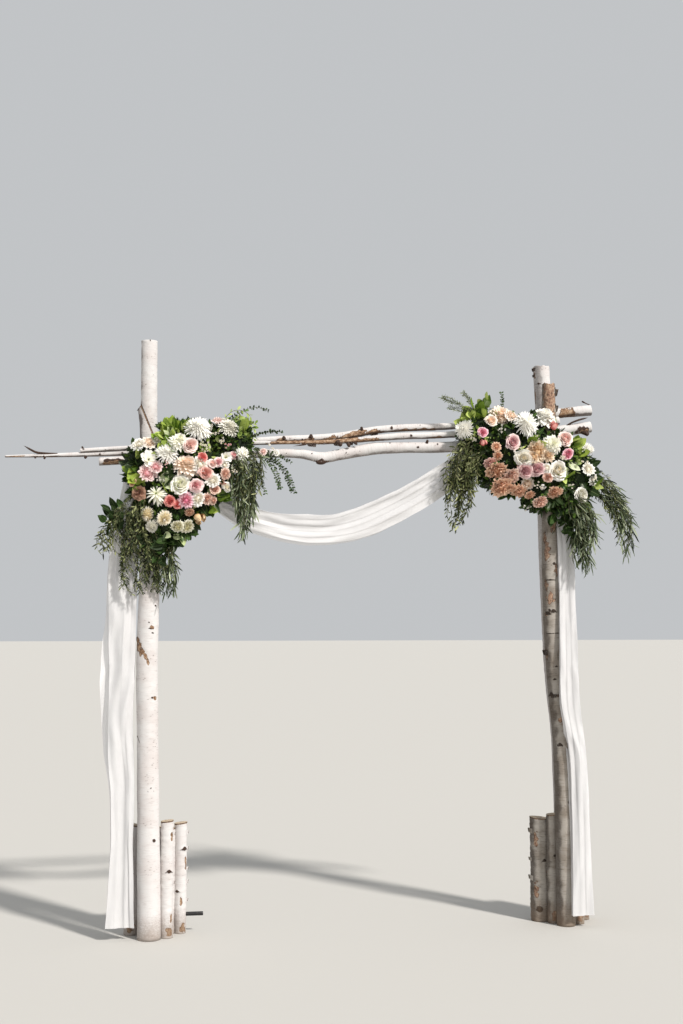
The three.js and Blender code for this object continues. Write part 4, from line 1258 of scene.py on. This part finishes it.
def filling(side, count, rng):
    """Filler leaves all over a cluster: each leans from the way out towards a random way along
    the surface, more of it in front, where the blooms lie."""
    made = []
    for kind, share, low in (("filler", 0.72, 0.0), ("light_filler", 0.10, 0.0), ("dark_salal", 0.18, 8.0)):
        points, outward = on_foam(side, int(count * share), rng)
        along = np.cross(outward, unit(rng.normal(size=outward.shape)))
        flatness = blend(0.9, 2.4, (-outward[:, 1:2] - 0.3) * 1.6)
        out = outward + along * flatness + [0, 0, -0.15]
        deep = 10 + low + 16 * np.clip(-outward[:, 1:2] - 0.3, 0, 1)
        made.append(leaves(kind, points - outward * deep, out, outward + [0, -0.3, 0.4], rng, 0.9))
    return made


for order, side in enumerate(("left", "right")):
    piece(f"{side}_flower_foam", foam(CORES[side], 300 + order), [moss],
                              [f"{side}_cluster_core"])
    rng = np.random.default_rng(310 + order)
    fillers = [within(s) for s in filling(side, FILLERS_EACH_SIDE, rng)]
    piece(f"{side}_filler_leaves", fillers, [salal_skin])
    fans = [within(fan(side, *spec, rng)) for spec in FANS[side]]
    piece(f"{side}_salal_leaves", fans, [salal_skin])

# %% [markdown]
# ## Trails and sprays
# From each cluster hang stems of eucalyptus and olive, and lighter ones spray up and out. A stem
# could be simulated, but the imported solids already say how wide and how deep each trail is: every
# stem keeps its own share of that width all the way down, with a slow wander of its own.

# %% Stems that share a trail
TRAIL_SAMPLES, TRAIL_WANDER, TRAIL_FILL = 80, 0.25, 0.95


def hang(stations, count, rng, steps, start=(0.0, 0.3), stop=(0.55, 1.0)):
    """count stems (count, steps, 3). Stem k runs from share start to stop of the trail's centre line,
    offset by across W a + deep D b, where a and b are its own and wander in slow waves."""
    centre, size = through(stations, TRAIL_SAMPLES)
    _, across, front = axes_along(centre)
    first, last = rng.uniform(*start, count), rng.uniform(*stop, count)
    t = blend(first[:, None], last[:, None], np.linspace(0, 1, steps)[None, :])
    ruler = np.linspace(0, 1, TRAIL_SAMPLES)
    centre, across, front, size = sampled(t, ruler, centre, across, front, size)
    ways = rng.uniform(0, 6.3, (count, 1))
    a = TRAIL_FILL * rng.uniform(-1, 1, (count, 1)) + TRAIL_WANDER * np.sin(7 * t + ways)
    b = 0.8 * rng.uniform(-1, 1, (count, 1)) + TRAIL_WANDER * np.cos(6 * t + 2 * ways)
    return centre + across * (a * size[..., 0])[..., None] + front * (b * size[..., 1])[..., None]


# %% [markdown]
# ## The trails and sprays
# A trail is made of bundles: a kind of leaf, the number of stems, the steps along each, the angle of
# its leaves, and the stations of its centre line with half its width and half its depth there.

# %% Trails and sprays
TRAILS = {
    "left_outer_trail": [
        ("fine", 58, 30, 42, [[-1040, -128, 2080, 66, 30], [-1078, -136, 1960, 84, 38],
                              [-1080, -136, 1860, 82, 38], [-1062, -134, 1770, 60, 26]]),
        ("fine", 20, 48, 40, [[-1050, -132, 2000, 60, 30], [-1040, -138, 1850, 80, 34],
                              [-1020, -134, 1720, 84, 28], [-1000, -130, 1612, 80, 18]]),
        ("olive", 7, 16, 48, [[-1090, -120, 2030, 30, 20], [-1150, -126, 1960, 40, 20],
                              [-1200, -130, 1880, 40, 20], [-1215, -130, 1800, 30, 12]]),
        ("dark_salal", 4, 7, 55, [[-1080, -120, 2020, 20, 14], [-1150, -128, 1985, 30, 14],
                                  [-1222, -130, 1950, 34, 12]]),
        ("fine", 3, 42, 40, [[-1100, -130, 1900, 10, 8], [-1112, -132, 1770, 14, 8],
                             [-1112, -132, 1620, 8, 6]])],
    "left_lower_trail": [
        ("dark_salal", 8, 8, 50, [[-930, -130, 1940, 60, 24], [-925, -138, 1860, 66, 28],
                                  [-922, -134, 1770, 46, 20]]),
        ("fine", 18, 38, 40, [[-925, -130, 1900, 50, 24], [-925, -134, 1760, 62, 24],
                              [-905, -130, 1618, 44, 14]]),
        ("willow", 8, 12, 22, [[-915, -132, 1860, 40, 20], [-905, -134, 1740, 50, 20],
                               [-892, -130, 1625, 34, 12]])],
    "left_beam_trail": [
        ("willow", 24, 18, 26, [[-570, -128, 2320, 56, 26], [-552, -138, 2220, 90, 28],
                                [-548, -140, 2110, 76, 28], [-545, -138, 2000, 42, 22],
                                [-552, -136, 1890, 14, 12]]),
        ("fine", 16, 26, 40, [[-570, -128, 2330, 56, 26], [-545, -138, 2230, 92, 28],
                              [-545, -140, 2110, 66, 28], [-545, -138, 2010, 34, 20]]),
        ("olive", 8, 16, 42, [[-590, -128, 2300, 50, 26], [-550, -138, 2180, 84, 28],
                              [-548, -138, 2000, 40, 22]])],
    "left_upper_spray": [
        ("salal", 4, 5, 52, [[-872, -110, 2350, 30, 12], [-884, -122, 2405, 42, 14],
                             [-892, -120, 2432, 40, 10]]),
        ("round", 1, 17, 60, [[-650, -96, 2420, 4, 4], [-575, -98, 2490, 4, 4],
                              [-491, -96, 2522, 4, 4], [-424, -94, 2508, 2, 2]]),
        ("round", 2, 18, 60, [[-620, -96, 2370, 12, 8], [-500, -98, 2382, 12, 8],
                              [-422, -96, 2402, 8, 6], [-350, -94, 2408, 3, 3]]),
        ("light_filler", 16, 13, 45, [[-640, -96, 2370, 60, 24], [-570, -98, 2428, 66, 26],
                                      [-486, -94, 2412, 46, 20]])],
    "left_lower_spray": [
        ("round", 2, 26, 60, [[-540, -90, 2310, 20, 14], [-455, -90, 2280, 24, 12],
                              [-398, -88, 2215, 20, 10], [-366, -86, 2122, 10, 6]]),
        ("round", 2, 24, 60, [[-520, -90, 2320, 12, 10], [-400, -88, 2272, 12, 8],
                              [-333, -86, 2194, 10, 6], [-298, -84, 2104, 5, 4]]),
        ("round", 1, 14, 60, [[-520, -90, 2260, 6, 6], [-463, -88, 2190, 5, 5], [-437, -86, 2103, 3, 3]]),
        ("round", 1, 14, 60, [[-500, -90, 2320, 6, 6], [-384, -88, 2294, 5, 5], [-312, -86, 2256, 3, 3]])],
    "right_inner_trail": [
        ("olive", 40, 24, 44, [[640, -128, 2370, 44, 26], [548, -138, 2290, 66, 28],
                               [516, -140, 2180, 76, 28], [518, -138, 2080, 64, 24],
                               [480, -136, 1925, 16, 12]]),
        ("fine", 18, 32, 40, [[640, -128, 2370, 44, 26], [540, -138, 2280, 66, 28],
                              [508, -140, 2160, 74, 28], [470, -136, 1935, 16, 12]])],
    "right_outer_trail": [
        ("willow", 19, 20, 24, [[1170, -96, 2230, 40, 22], [1262, -96, 2160, 52, 24],
                                [1330, -94, 2070, 54, 24], [1372, -92, 1960, 46, 20],
                                [1375, -90, 1805, 20, 12]]),
        ("fine", 14, 34, 40, [[1170, -96, 2230, 40, 22], [1262, -96, 2150, 52, 24],
                              [1330, -94, 2040, 50, 24], [1360, -92, 1850, 24, 16]])],
    "right_lower_trail": [
        ("willow", 30, 18, 22, [[1080, -146, 2120, 60, 26], [1118, -172, 2010, 70, 28],
                                [1130, -176, 1890, 62, 24], [1135, -176, 1745, 40, 14]]),
        ("dark_salal", 9, 8, 48, [[1020, -136, 2120, 60, 26], [1030, -150, 2040, 66, 28],
                                  [1050, -156, 1895, 40, 20]]),
        ("filler", 12, 14, 50, [[1080, -146, 2120, 60, 26], [1100, -166, 2010, 66, 28],
                                [1110, -170, 1900, 50, 20]])],
    "right_upper_spray": [
        ("salal", 9, 5, 66, [[655, -96, 2450, 34, 16], [628, -100, 2515, 62, 24],
                             [606, -96, 2556, 66, 22]]),
        ("wisp", 3, 42, 60, [[620, -96, 2500, 24, 14], [505, -92, 2570, 22, 10], [440, -90, 2598, 8, 6]]),
        ("wisp", 2, 34, 60, [[600, -96, 2480, 16, 10], [525, -92, 2530, 14, 8], [470, -90, 2545, 6, 5]]),
        ("wisp", 2, 30, 60, [[610, -96, 2520, 10, 10], [583, -92, 2576, 10, 8], [544, -90, 2626, 5, 4]]),
        ("round", 1, 12, 50, [[742, -96, 2490, 3, 3], [748, -94, 2560, 3, 3], [746, -92, 2630, 2, 2]])],
}
LEAVES_EACH = {"round": 2, "wisp": 2}
STEM_RADIUS, STEM_BROWN = 1.2, "#5A5238"
for order, (name, bundles) in enumerate(TRAILS.items()):
    rng = np.random.default_rng(400 + order)
    surfaces = []
    for kind, count, steps, angle, stations in bundles:
        whole = dict(start=(0.0, 0.05), stop=(0.94, 1.0)) if kind in LEAVES_EACH else {}
        paths = hang(stations, count, rng, steps, **whole)
        surfaces.append(within(stems(paths, STEM_RADIUS, STEM_BROWN)))
        surfaces.append(within(leafy(kind, paths, rng, angle, LEAVES_EACH.get(kind, 1))))
    piece(f"{name}_leaves", surfaces, [sage_skin], [name])

# %% [markdown]
# ## Blooms
# Each kind of flower is petals round an axis. A rose is a rolled heart inside rings of cupped
# petals; a spider chrysanthemum is a burst of thin quills; a dahlia is rows of pointed petals set
# by the golden angle, the way a real flower head packs them. Working in numpy lets one function
# draw every petal of a bloom at once, with its colour running from heart to edge.

# %% Petal colours
PALETTES = {
    "white": ("#F3EEC8", "#FFFDF5", "#FFFEFA"), "cream": ("#F0D8A4", "#FDF6E4", "#FFFEFA"),
    "green_white": ("#DEE1A0", "#FBFAE6", "#FFFDF6"), "blush": ("#E8A094", "#F9D6CC", "#FFF0EA"),
    "pink": ("#DE7886", "#F6BCC0", "#FEEAE6"), "hot_pink": ("#DC4A70", "#F48FAC", "#FEDAE2"),
    "coral": ("#BC3C40", "#E6706E", "#F8B4AA"), "salmon": ("#C45E52", "#EBA698", "#FBD8CE"),
    "peach": ("#F0BC8C", "#FFE6CC", "#FFF6EC"), "mauve": ("#93485A", "#D79CA4", "#FBE4E0"),
    "dusty": ("#A8664C", "#DEA890", "#F6DACA"), "bronze": ("#F2CCB8", "#C4967E", "#AA8670"),
    "tan": ("#B68450", "#E8C498", "#FCEBD4"), "shade": ("#BDBA98", "#E4E1D2", "#F6F4EC"),
    "globe": ("#A98044", "#E8D6A8", "#FFFEF6"), "globe_green": ("#857640", "#D6CE9C", "#FAF8E6"),
    # The last palette here is peach darkened as painted shade, for blooms that hang in the shadow under the
    # others.
    "tan_bud": ("#C08A50", "#D2A468", "#EDD2A8"), "dusk": ("#92583A", "#D69C78", "#F2CEB2"),
}


def pad(radius, palette, wide, tall):
    """The crowded middle under a bloom's petals, a low dome in the palette's body colour, so that
    the gaps between them show more petal and not what lies behind."""
    points = radius * dome(1.8, 9, 16) * [wide, wide, tall]
    body = linear(PALETTES[palette][1]) * [0.9, 0.9, 0.9, 1]
    return grid(points, wrap=True, tint=body, place=points / radius)


def coloured(palette, toward_body, toward_edge):
    """The palette's heart colour, moved to its body colour and then to its edge colour."""
    heart, body, edge = (linear(c) for c in PALETTES[palette])
    return blend(blend(heart, body, toward_body[..., None]), edge, toward_edge[..., None])


# %% [markdown]
# ## Petals by the golden angle
# A flower head sets each petal a golden angle on from the last, about 137.5 degrees, which packs
# them evenly however many there are. Stamens in a flower's middle are set in the same way.

# %% Petals round an axis
GOLDEN = np.pi * (3 - 5 ** 0.5)


def ring_petals(radius, palette, rng, count, tilt, length, width, outline, bend, depth, cup=0.3,
                wave=0.0, heart=0.55, rows=6, columns=5, core=0.16):
    """count strips round the axis by the golden angle. A petal at share f of the way out, where f is
    the root of its number's share, tilts from the axis and has its length and bend by f."""
    i = np.arange(count)
    f = np.sqrt((i + 0.5) / count)
    turn = i * GOLDEN + rng.normal(0, 0.06, count)
    radial = np.stack([np.cos(turn), np.sin(turn), 0 * turn], -1)
    lean = np.radians(blend(tilt[0], tilt[1], f) + rng.normal(0, 4, count))[:, None]
    out = radial * np.sin(lean) + UP * np.cos(lean)
    top = UP * np.sin(lean) - radial * np.cos(lean)
    long = radius * blend(length[0], length[1], f) * rng.uniform(0.92, 1.06, count)
    points, place = strips(long, radius * width, outline, blend(bend[0], bend[1], f), cup,
                           rng.normal(0, 0.12, count), wave, rng.uniform(0, 6, count), rows, columns)
    base = radial * radius * core * f[:, None] + UP * radius * depth * (1 - f[:, None] ** 1.5)
    u = place[..., 0]
    tint = coloured(palette, (f[:, None, None] - heart + 0.5 * u) / 0.4, (u - 0.55) / 0.4)
    return grid(put(points, frames(out, top), base), tint=tint, place=place)


def button(radius, colour, rng):
    """A flower's middle: short blunt stamens set close on a low dome."""
    made = ring_petals(radius, "white", rng, 46, (0, 60), (0.7, 0.7), 0.24, (0.3, 0.2), (0.2, 0.2),
                       depth=0.35, rows=4, columns=3, core=0.8)
    made["tint"] = np.tile(linear(colour), (len(made["points"]), 1))
    return made


# %% [markdown]
# ## Cupped petals
# A rose petal is part of a bowl, wrapped round the heart, with a rim that rolls outwards. The
# innermost one is wound so tightly that it shows as a spiral.

# %% Cupped petals
def cups(radius, palette, turn, reach, tall, spread, curl, rng, ruffle=0.02, swell=1.2,
         rows=9, columns=9):
    """Petals as parts of a cup. A point at u up and v across is at angle turn + spread v, at radius
    reach sin^0.6, and height tall u^swell, with the rim rolled out by curl and its corners rounded."""
    turn, reach, tall, spread, curl = (np.asarray(x, float)[:, None, None]
                                       for x in (turn, reach, tall, spread, curl))
    u = np.linspace(0, 1, rows)[None, :, None]
    v = np.linspace(-1, 1, columns)[None, None, :]
    phase = rng.uniform(0, 6, turn.shape)
    rim = np.clip((u - 0.72) / 0.28, 0, 1) ** 2
    wide = spread * (0.40 + 0.60 * u ** 0.5) * (1 - 0.14 * u ** 8)
    away = reach * (0.10 + 0.90 * np.sin(np.pi / 2 * u) ** 0.6) * (1 + 0.05 * v)
    away = away + reach * curl * rim + ruffle * radius * 2 * np.sin(6 * v + phase) * u ** 3
    corner = np.abs(v) ** 3 * u ** 2
    high = tall * u ** swell - reach * curl * 0.9 * rim - 0.20 * tall * corner
    high = high + ruffle * radius * 1.5 * np.sin(8 * v + 2 * phase) * u ** 3
    angle = turn + wide * v
    share = reach / radius
    toward_edge = np.clip((u - 0.62) / 0.38, 0, 1) * (0.5 + share)
    tint = coloured(palette, (share - 0.12 + 0.3 * u) / 0.42, toward_edge)
    points = stacked(away * np.cos(angle), away * np.sin(angle), high)
    return grid(points, tint=tint, place=stacked(u, v, phase))


HEART_TURNS, HEART_SIZE, HEART_TALL = 2.6, 0.27, 0.78


def rolled_heart(radius, palette):
    """The heart of a rose: one petal rolled into a spiral, r growing evenly with the angle, with
    its rim turned out a little."""
    s = np.linspace(0, 1, 58)[None, :]
    u = np.linspace(0, 1, 5)[:, None]
    angle = s * HEART_TURNS * 2 * np.pi
    away = radius * (0.03 + HEART_SIZE * s) * (0.86 + 0.14 * u) + radius * 0.035 * u ** 4
    high = radius * (0.2 + (HEART_TALL - 0.2 - 0.10 * s) * u - 0.02 * np.sin(5 * angle) * u)
    points = stacked(away * np.cos(angle), away * np.sin(angle), high)
    tint = coloured(palette, 0.2 + 0.6 * s + 0.3 * u, (u - 0.8) / 0.2 * 0.6)
    return grid(points, tint=tint, place=stacked(u, np.sin(angle), 0.0))


# %% [markdown]
# ## Kinds of bloom
# Roses, ruffled blooms, buds and sprigs are built of cupped petals. The heads, from spider mum to
# daisy, differ only in the numbers that their petals are drawn from.

# %% Kinds of bloom
def rose(radius, palette, rng):
    """A garden rose: a rolled heart and five rings of cupped petals that overlap into a round
    head, the outer ones lower and more rolled at the rim."""
    rings = [(4, 0.36, 0.80, 1.05, 0.02), (5, 0.52, 0.76, 0.92, 0.08), (5, 0.68, 0.66, 0.90, 0.14),
             (6, 0.82, 0.50, 0.78, 0.16), (7, 0.94, 0.32, 0.70, 0.12)]
    rows = np.repeat(np.arange(5), [r[0] for r in rings])
    count, reach, tall, spread, curl = np.array(rings).T[:, rows]
    turn = np.arange(len(rows)) * 2 * np.pi / count + rows * 0.7 + rng.normal(0, 0.16, len(rows))
    reach = reach * rng.uniform(0.90, 1.06, len(rows))
    tall = tall * rng.uniform(0.90, 1.08, len(rows))
    outer = cups(radius, palette, turn, radius * reach, radius * tall, spread, curl, rng)
    return [rolled_heart(radius, palette), outer, pad(radius, palette, 0.34, 0.55)]


def ruffled(radius, palette, rng):
    """A double lisianthus, carnation or spray rose: many waved petals with loose, uneven rims."""
    count = 38
    f = np.sqrt((np.arange(count) + 1) / count)
    turn = np.arange(count) * GOLDEN
    outer = cups(radius, palette, turn, radius * (0.14 + 0.80 * f), radius * (0.84 - 0.50 * f),
                 0.85 - 0.32 * f, 0.04 + 0.12 * f, rng, ruffle=0.07)
    return [outer, pad(radius, palette, 0.40, 0.55)]


def bud(radius, palette, rng):
    """A bloom seen from its side or its back: closed cups that make a dome, with the petals' tips
    hanging beyond it."""
    rings = np.repeat([0, 1, 2, 3], [4, 5, 6, 9])
    turn = np.arange(24) * 2.1 + rng.normal(0, 0.1, 24)
    reach = radius * np.array([0.40, 0.66, 0.86, 0.98])[rings]
    tall = radius * np.array([1.15, 1.18, 1.12, 0.98])[rings] * rng.uniform(0.94, 1.06, 24)
    curl = np.array([-0.5, -0.35, -0.26, -0.16])[rings]
    return [cups(radius, palette, turn, reach, tall, np.array([0.9, 0.85, 0.75, 0.5])[rings], curl,
                 rng, swell=1.8, rows=8, columns=7)]


def sprig(radius, palette, rng):
    """A sprig of six small buds, each of five cupped petals, at heights of their own."""
    made = []
    for place in rng.normal(size=(6, 3)) * radius * [0.55, 0.55, 0.25]:
        size = radius * rng.uniform(0.24, 0.38)
        five = np.arange(5)
        petals = cups(size, palette, five * 2.5, size * (0.6 + 0.1 * five), size * (1.5 - 0.1 * five),
                      np.full(5, 0.8), np.full(5, -0.25), rng, rows=5, columns=4)
        petals["points"] += place + [0, 0, 0.6 * radius]
        made.append(petals)
    return made


HEADS = {
    "spider": dict(count=200, tilt=(26, 100), length=(0.44, 1.0), width=0.12, outline=(0.4, 0.5),
                   bend=(0.4, -0.2), depth=0.34, heart=0.06, rows=7, columns=3),
    "mum": dict(count=130, tilt=(20, 104), length=(0.38, 0.98), width=0.19, outline=(0.38, 0.34),
                bend=(0.6, -0.4), depth=0.36, heart=0.16, columns=3),
    "dahlia": dict(count=84, tilt=(24, 98), length=(0.36, 0.98), width=0.36, outline=(0.55, 0.42),
                   bend=(0.6, -0.2), depth=0.36, heart=0.16, wave=0.02, rows=7),
    "globe": dict(count=120, tilt=(0, 128), length=(0.50, 0.86), width=0.19, outline=(0.5, 0.3),
                  bend=(1.5, -0.2), cup=0.4, depth=0.5, heart=0.30, columns=3),
    "open": dict(count=13, tilt=(52, 84), length=(0.9, 1.0), width=0.62, outline=(0.5, 0.22),
                 bend=(0.7, 0.1), depth=0.1, wave=0.02, heart=0.3, rows=7, columns=7),
    "daisy": dict(count=46, tilt=(38, 112), length=(0.62, 1.05), width=0.15, outline=(0.35, 0.3),
                  bend=(0.2, -0.9), cup=0.4, depth=0.14, heart=0.1, rows=7, columns=3),
}
PADS = {"spider": (0.42, 0.52), "mum": (0.46, 0.54), "dahlia": (0.48, 0.54), "globe": (0.5, 0.66)}
BUTTONS = {"open": (0.26, "#8E936E"), "daisy": (0.24, "#9DAE4E")}


def head(kind, radius, palette, rng):
    """A flower head whose petals all follow the golden angle. Spider chrysanthemums are bursts of
    thin quills, mums have rows of narrow petals and dahlias broad ones, and a globe's curve in over
    its heart. Under these lies a pad. An open bloom and a daisy have a button in their middle."""
    made = [ring_petals(radius, palette, rng, **HEADS[kind])]
    if kind in PADS:
        return made + [pad(radius, palette, *PADS[kind])]
    size, colour = BUTTONS[kind]
    return made + [button(radius * size, colour, rng)]


KINDS = {"rose": rose, "ruffled": ruffled, "bud": bud, "sprig": sprig}


# %% [markdown]
# ## Seating a bloom
# A bloom is drawn looking up, squashed and wobbled a little, turned to its own way on the cluster
# and carried to its seat on the foam.

# %% Seating a bloom
def set_bloom(side, kind, palette, x, z, across, rng, face=None):
    """A bloom seated on its cluster at x and z, across millimetres wide. It looks along its face,
    or else along the way out there, turned to the front. A squash and a slow wobble keep any two
    blooms of a kind from being alike."""
    point, outward = seat(side, x, z)
    if face is None:
        face = outward * 0.65 + np.array([0.03, -0.55, 0.12]) + rng.normal(size=3) * 0.17
    axis = unit(np.array(face, float))
    first = unit(np.cross(axis, UP + 0.1 * rng.normal(size=3)))
    axes = np.stack([first, np.cross(axis, first), axis])
    spin = rng.uniform(0, 2 * np.pi)
    turn = np.array([[np.cos(spin), np.sin(spin), 0], [-np.sin(spin), np.cos(spin), 0], [0, 0, 1]])
    radius = across * 0.54
    base = point + axis * radius * 0.12 + outward * 6
    made = KINDS[kind](radius, palette, rng) if kind in KINDS else head(kind, radius, palette, rng)
    squash = np.append(rng.uniform(0.87, 1.07, 2), 1.0)
    seeds = rng.integers(0, 9999, 3)
    for surface in made:
        points = surface["points"]
        wobble = np.stack([drift(points, 1.7 * radius, seed, 1) for seed in seeds], -1)
        surface["points"] = (points * squash + 0.09 * radius * wobble) @ turn @ axes + base
    foremost = min(surface["points"][..., 1].min() for surface in made)
    for surface in made:
        surface["points"][..., 1] += max(FRONT_LIMIT - foremost, 0)
    return made


# %% [markdown]
# ## Placing the blooms
# The widths and places are measured on the real clusters: kind, palette, x and z on the arch, and
# width in millimetres, with a face where the bloom doesn't look to the front. Sixteen of the larger
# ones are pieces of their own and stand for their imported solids. The rest are joined in groups.

# %% Blooms of both clusters
DOWN, UPWARD = (0.05, -0.75, -0.75), (0.0, -0.45, 1.0)
LOW, UNDER = (0.1, -0.9, -0.4), (0.05, -0.5, -1.0)
BLOOMS = {
    "left_spider_mum": [("spider", "white", -770, 2392, 126, (0.25, -0.75, 0.62))],
    "left_upper_mum": [("mum", "green_white", -859, 2328, 96, (0.2, -0.8, 0.55))],
    "left_middle_mum": [("spider", "white", -915, 2274, 102, (0.2, -0.8, 0.55))],
    "left_lower_mum": [("daisy", "green_white", -957, 2081, 94, (-0.15, -0.85, 0.3))],
    "left_dahlia": [("dahlia", "peach", -821, 2219, 122, (0.15, -0.85, 0.5))],
    "left_white_rose": [("rose", "green_white", -849, 2128, 92, (-0.1, -0.9, 0.3))],
    "left_cream_rose": [("globe", "globe", -924, 1972, 84, LOW)],
    "left_pink_rose": [("ruffled", "pink", -1006, 2178, 80), ("ruffled", "pink", -964, 2208, 62)],
    "left_garden_roses": [
        ("rose", "blush", -806, 2313, 70), ("ruffled", "cream", -762, 2223, 78),
        ("rose", "salmon", -735, 2184, 68), ("rose", "pink", -776, 2126, 68),
        ("ruffled", "cream", -699, 2150, 64), ("rose", "bronze", -1042, 2092, 68),
        ("ruffled", "cream", -766, 2064, 62), ("ruffled", "dusty", -724, 2066, 52),
        ("bud", "tan_bud", -766, 1992, 62, (0.3, -0.6, -0.7)),
        ("ruffled", "hot_pink", -819, 2058, 66), ("rose", "coral", -896, 2053, 54),
        ("rose", "coral", -862, 2036, 42), ("ruffled", "dusk", -806, 2008, 44, DOWN),
        ("rose", "coral", -749, 2258, 46), ("rose", "blush", -700, 2228, 48),
        ("rose", "cream", -634, 2122, 48), ("rose", "dusty", -690, 2110, 46),
        ("rose", "dusk", -1066, 2140, 38, (-0.5, -0.8, 0.1))],
    "left_open_blooms": [
        ("open", "white", -1003, 2248, 80), ("ruffled", "cream", -1041, 2313, 66, (-0.3, -0.8, 0.6)),
        ("ruffled", "peach", -998, 2322, 64, (0.1, -0.8, 0.5)), ("open", "white", -638, 2262, 62),
        ("ruffled", "cream", -963, 2338, 38, (0.1, -0.7, 0.6)),
        ("ruffled", "blush", -456, 2300, 36, (0.0, -0.9, 0.3)), ("sprig", "cream", -426, 2304, 40),
        ("ruffled", "white", -392, 2296, 28, (0.1, -0.9, 0.2))],
    "left_shaded_blooms": [
        ("mum", "shade", -622, 2400, 94, (0.4, -0.6, 0.6)), ("ruffled", "blush", -668, 2432, 66, UPWARD),
        ("mum", "white", -560, 2289, 78, (0.5, -0.8, 0.1)), ("rose", "pink", -597, 2274, 46),
        ("rose", "pink", -675, 2240, 46), ("ruffled", "dusty", -642, 2187, 46),
        ("ruffled", "cream", -645, 2228, 42), ("globe", "globe", -1000, 1992, 72, (-0.1, -0.7, -0.7)),
        ("ruffled", "globe_green", -864, 1938, 60, LOW), ("ruffled", "globe_green", -818, 1938, 58, LOW),
        ("mum", "shade", -978, 1936, 66, DOWN), ("ruffled", "dusty", -700, 2060, 40, (0.5, -0.8, -0.2)),
        ("ruffled", "shade", -640, 2440, 40, UPWARD)],
    "left_sprigs": [
        ("sprig", "shade", -697, 2401, 44), ("sprig", "cream", -683, 2370, 36),
        ("sprig", "green_white", -744, 2323, 40), ("sprig", "green_white", -725, 2300, 34),
        ("sprig", "blush", -913, 2229, 30), ("sprig", "cream", -654, 2344, 36),
        ("sprig", "pink", -634, 2325, 34), ("sprig", "cream", -605, 2205, 36),
        ("sprig", "white", -945, 2152, 34), ("sprig", "cream", -783, 2030, 30),
        ("sprig", "white", -860, 2190, 26), ("sprig", "dusty", -650, 2150, 34)],
    "right_spider_mum": [("spider", "white", 844, 2449, 124, (0.2, -0.8, 0.55))],
    "right_white_lily": [("dahlia", "white", 952, 2488, 124, (0.1, -0.7, 0.75))],
    "right_middle_mum": [("mum", "green_white", 974, 2353, 98)],
    "right_ruffled_rose": [("ruffled", "tan", 895, 2318, 104)],
    "right_white_rose": [("rose", "cream", 998, 2222, 104)],
    "right_mauve_rose": [("rose", "mauve", 901, 2228, 80)],
    "right_peach_dahlia": [("dahlia", "peach", 730, 2494, 104, (0.05, -0.8, 0.6))],
    "right_peach_rose": [("ruffled", "dusk", 716, 2158, 104, DOWN)],
    "right_garden_roses": [
        ("rose", "mauve", 774, 2360, 76), ("rose", "blush", 1045, 2380, 76),
        ("rose", "hot_pink", 1052, 2311, 54), ("rose", "cream", 828, 2287, 82),
        ("rose", "mauve", 834, 2228, 70), ("ruffled", "dusk", 694, 2236, 92, DOWN),
        ("ruffled", "salmon", 664, 2270, 60, DOWN), ("ruffled", "dusty", 762, 2204, 84, DOWN),
        ("ruffled", "dusk", 812, 2142, 84, DOWN), ("ruffled", "peach", 860, 2170, 62, LOW),
        ("ruffled", "dusk", 764, 2150, 60, UNDER), ("ruffled", "dusty", 912, 2080, 72, DOWN),
        ("ruffled", "dusk", 986, 2130, 70, DOWN), ("rose", "peach", 673, 2464, 56),
        ("rose", "hot_pink", 627, 2409, 46), ("bud", "coral", 634, 2344, 40, (-0.1, -0.4, 1.0)),
        ("bud", "coral", 983, 2438, 48, (0.5, -0.6, 0.7)), ("ruffled", "dusk", 690, 2338, 42),
        ("ruffled", "peach", 776, 2488, 68, (0.3, -0.75, 0.6)), ("ruffled", "dusk", 700, 2295, 46),
        ("ruffled", "tan", 948, 2300, 62), ("ruffled", "tan", 870, 2290, 56),
        ("rose", "dusty", 950, 2190, 54), ("ruffled", "dusk", 870, 2112, 46, DOWN)],
    "right_shaded_blooms": [
        ("spider", "white", 552, 2425, 100, (-0.8, -0.55, 0.2)),
        ("mum", "white", 1168, 2338, 78, (0.8, -0.5, 0.1)),
        ("ruffled", "cream", 1162, 2234, 58), ("ruffled", "cream", 1186, 2190, 54),
        ("rose", "shade", 1125, 2108, 76, (0.3, -0.9, 0.0)), ("globe", "globe_green", 1071, 2042, 74, LOW),
        ("bud", "white", 930, 2148, 32), ("ruffled", "cream", 944, 2236, 48)],
    "right_sprigs": [
        ("sprig", "white", 780, 2312, 34), ("sprig", "blush", 800, 2250, 28),
        ("sprig", "white", 867, 2060, 36), ("sprig", "cream", 905, 2140, 34),
        ("sprig", "green_white", 814, 2325, 34), ("sprig", "cream", 1017, 2290, 34),
        ("sprig", "cream", 1146, 2258, 40), ("sprig", "shade", 590, 2372, 40),
        ("sprig", "white", 720, 2425, 36), ("sprig", "cream", 891, 2378, 30),
        ("sprig", "shade", 700, 2500, 34), ("sprig", "cream", 1060, 2150, 32)],
}
for order, (name, blooms) in enumerate(BLOOMS.items()):
    rng = np.random.default_rng(500 + order)
    side = name.split("_")[0]
    surfaces = []
    for kind, palette, x, z, across, *face in blooms:
        surfaces += set_bloom(side, kind, palette, x, z, across, rng, *face)
    piece(f"{name}_bloom", surfaces, [petal_skin],
          [name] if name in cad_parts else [])

# %% [markdown]
# ## The lengths of chiffon
# Each length of chiffon is gone over with the size it was cut to, and nothing more is done with it.

# %% Lengths of chiffon
for name, (made, flat, held) in cloth_pieces.items():
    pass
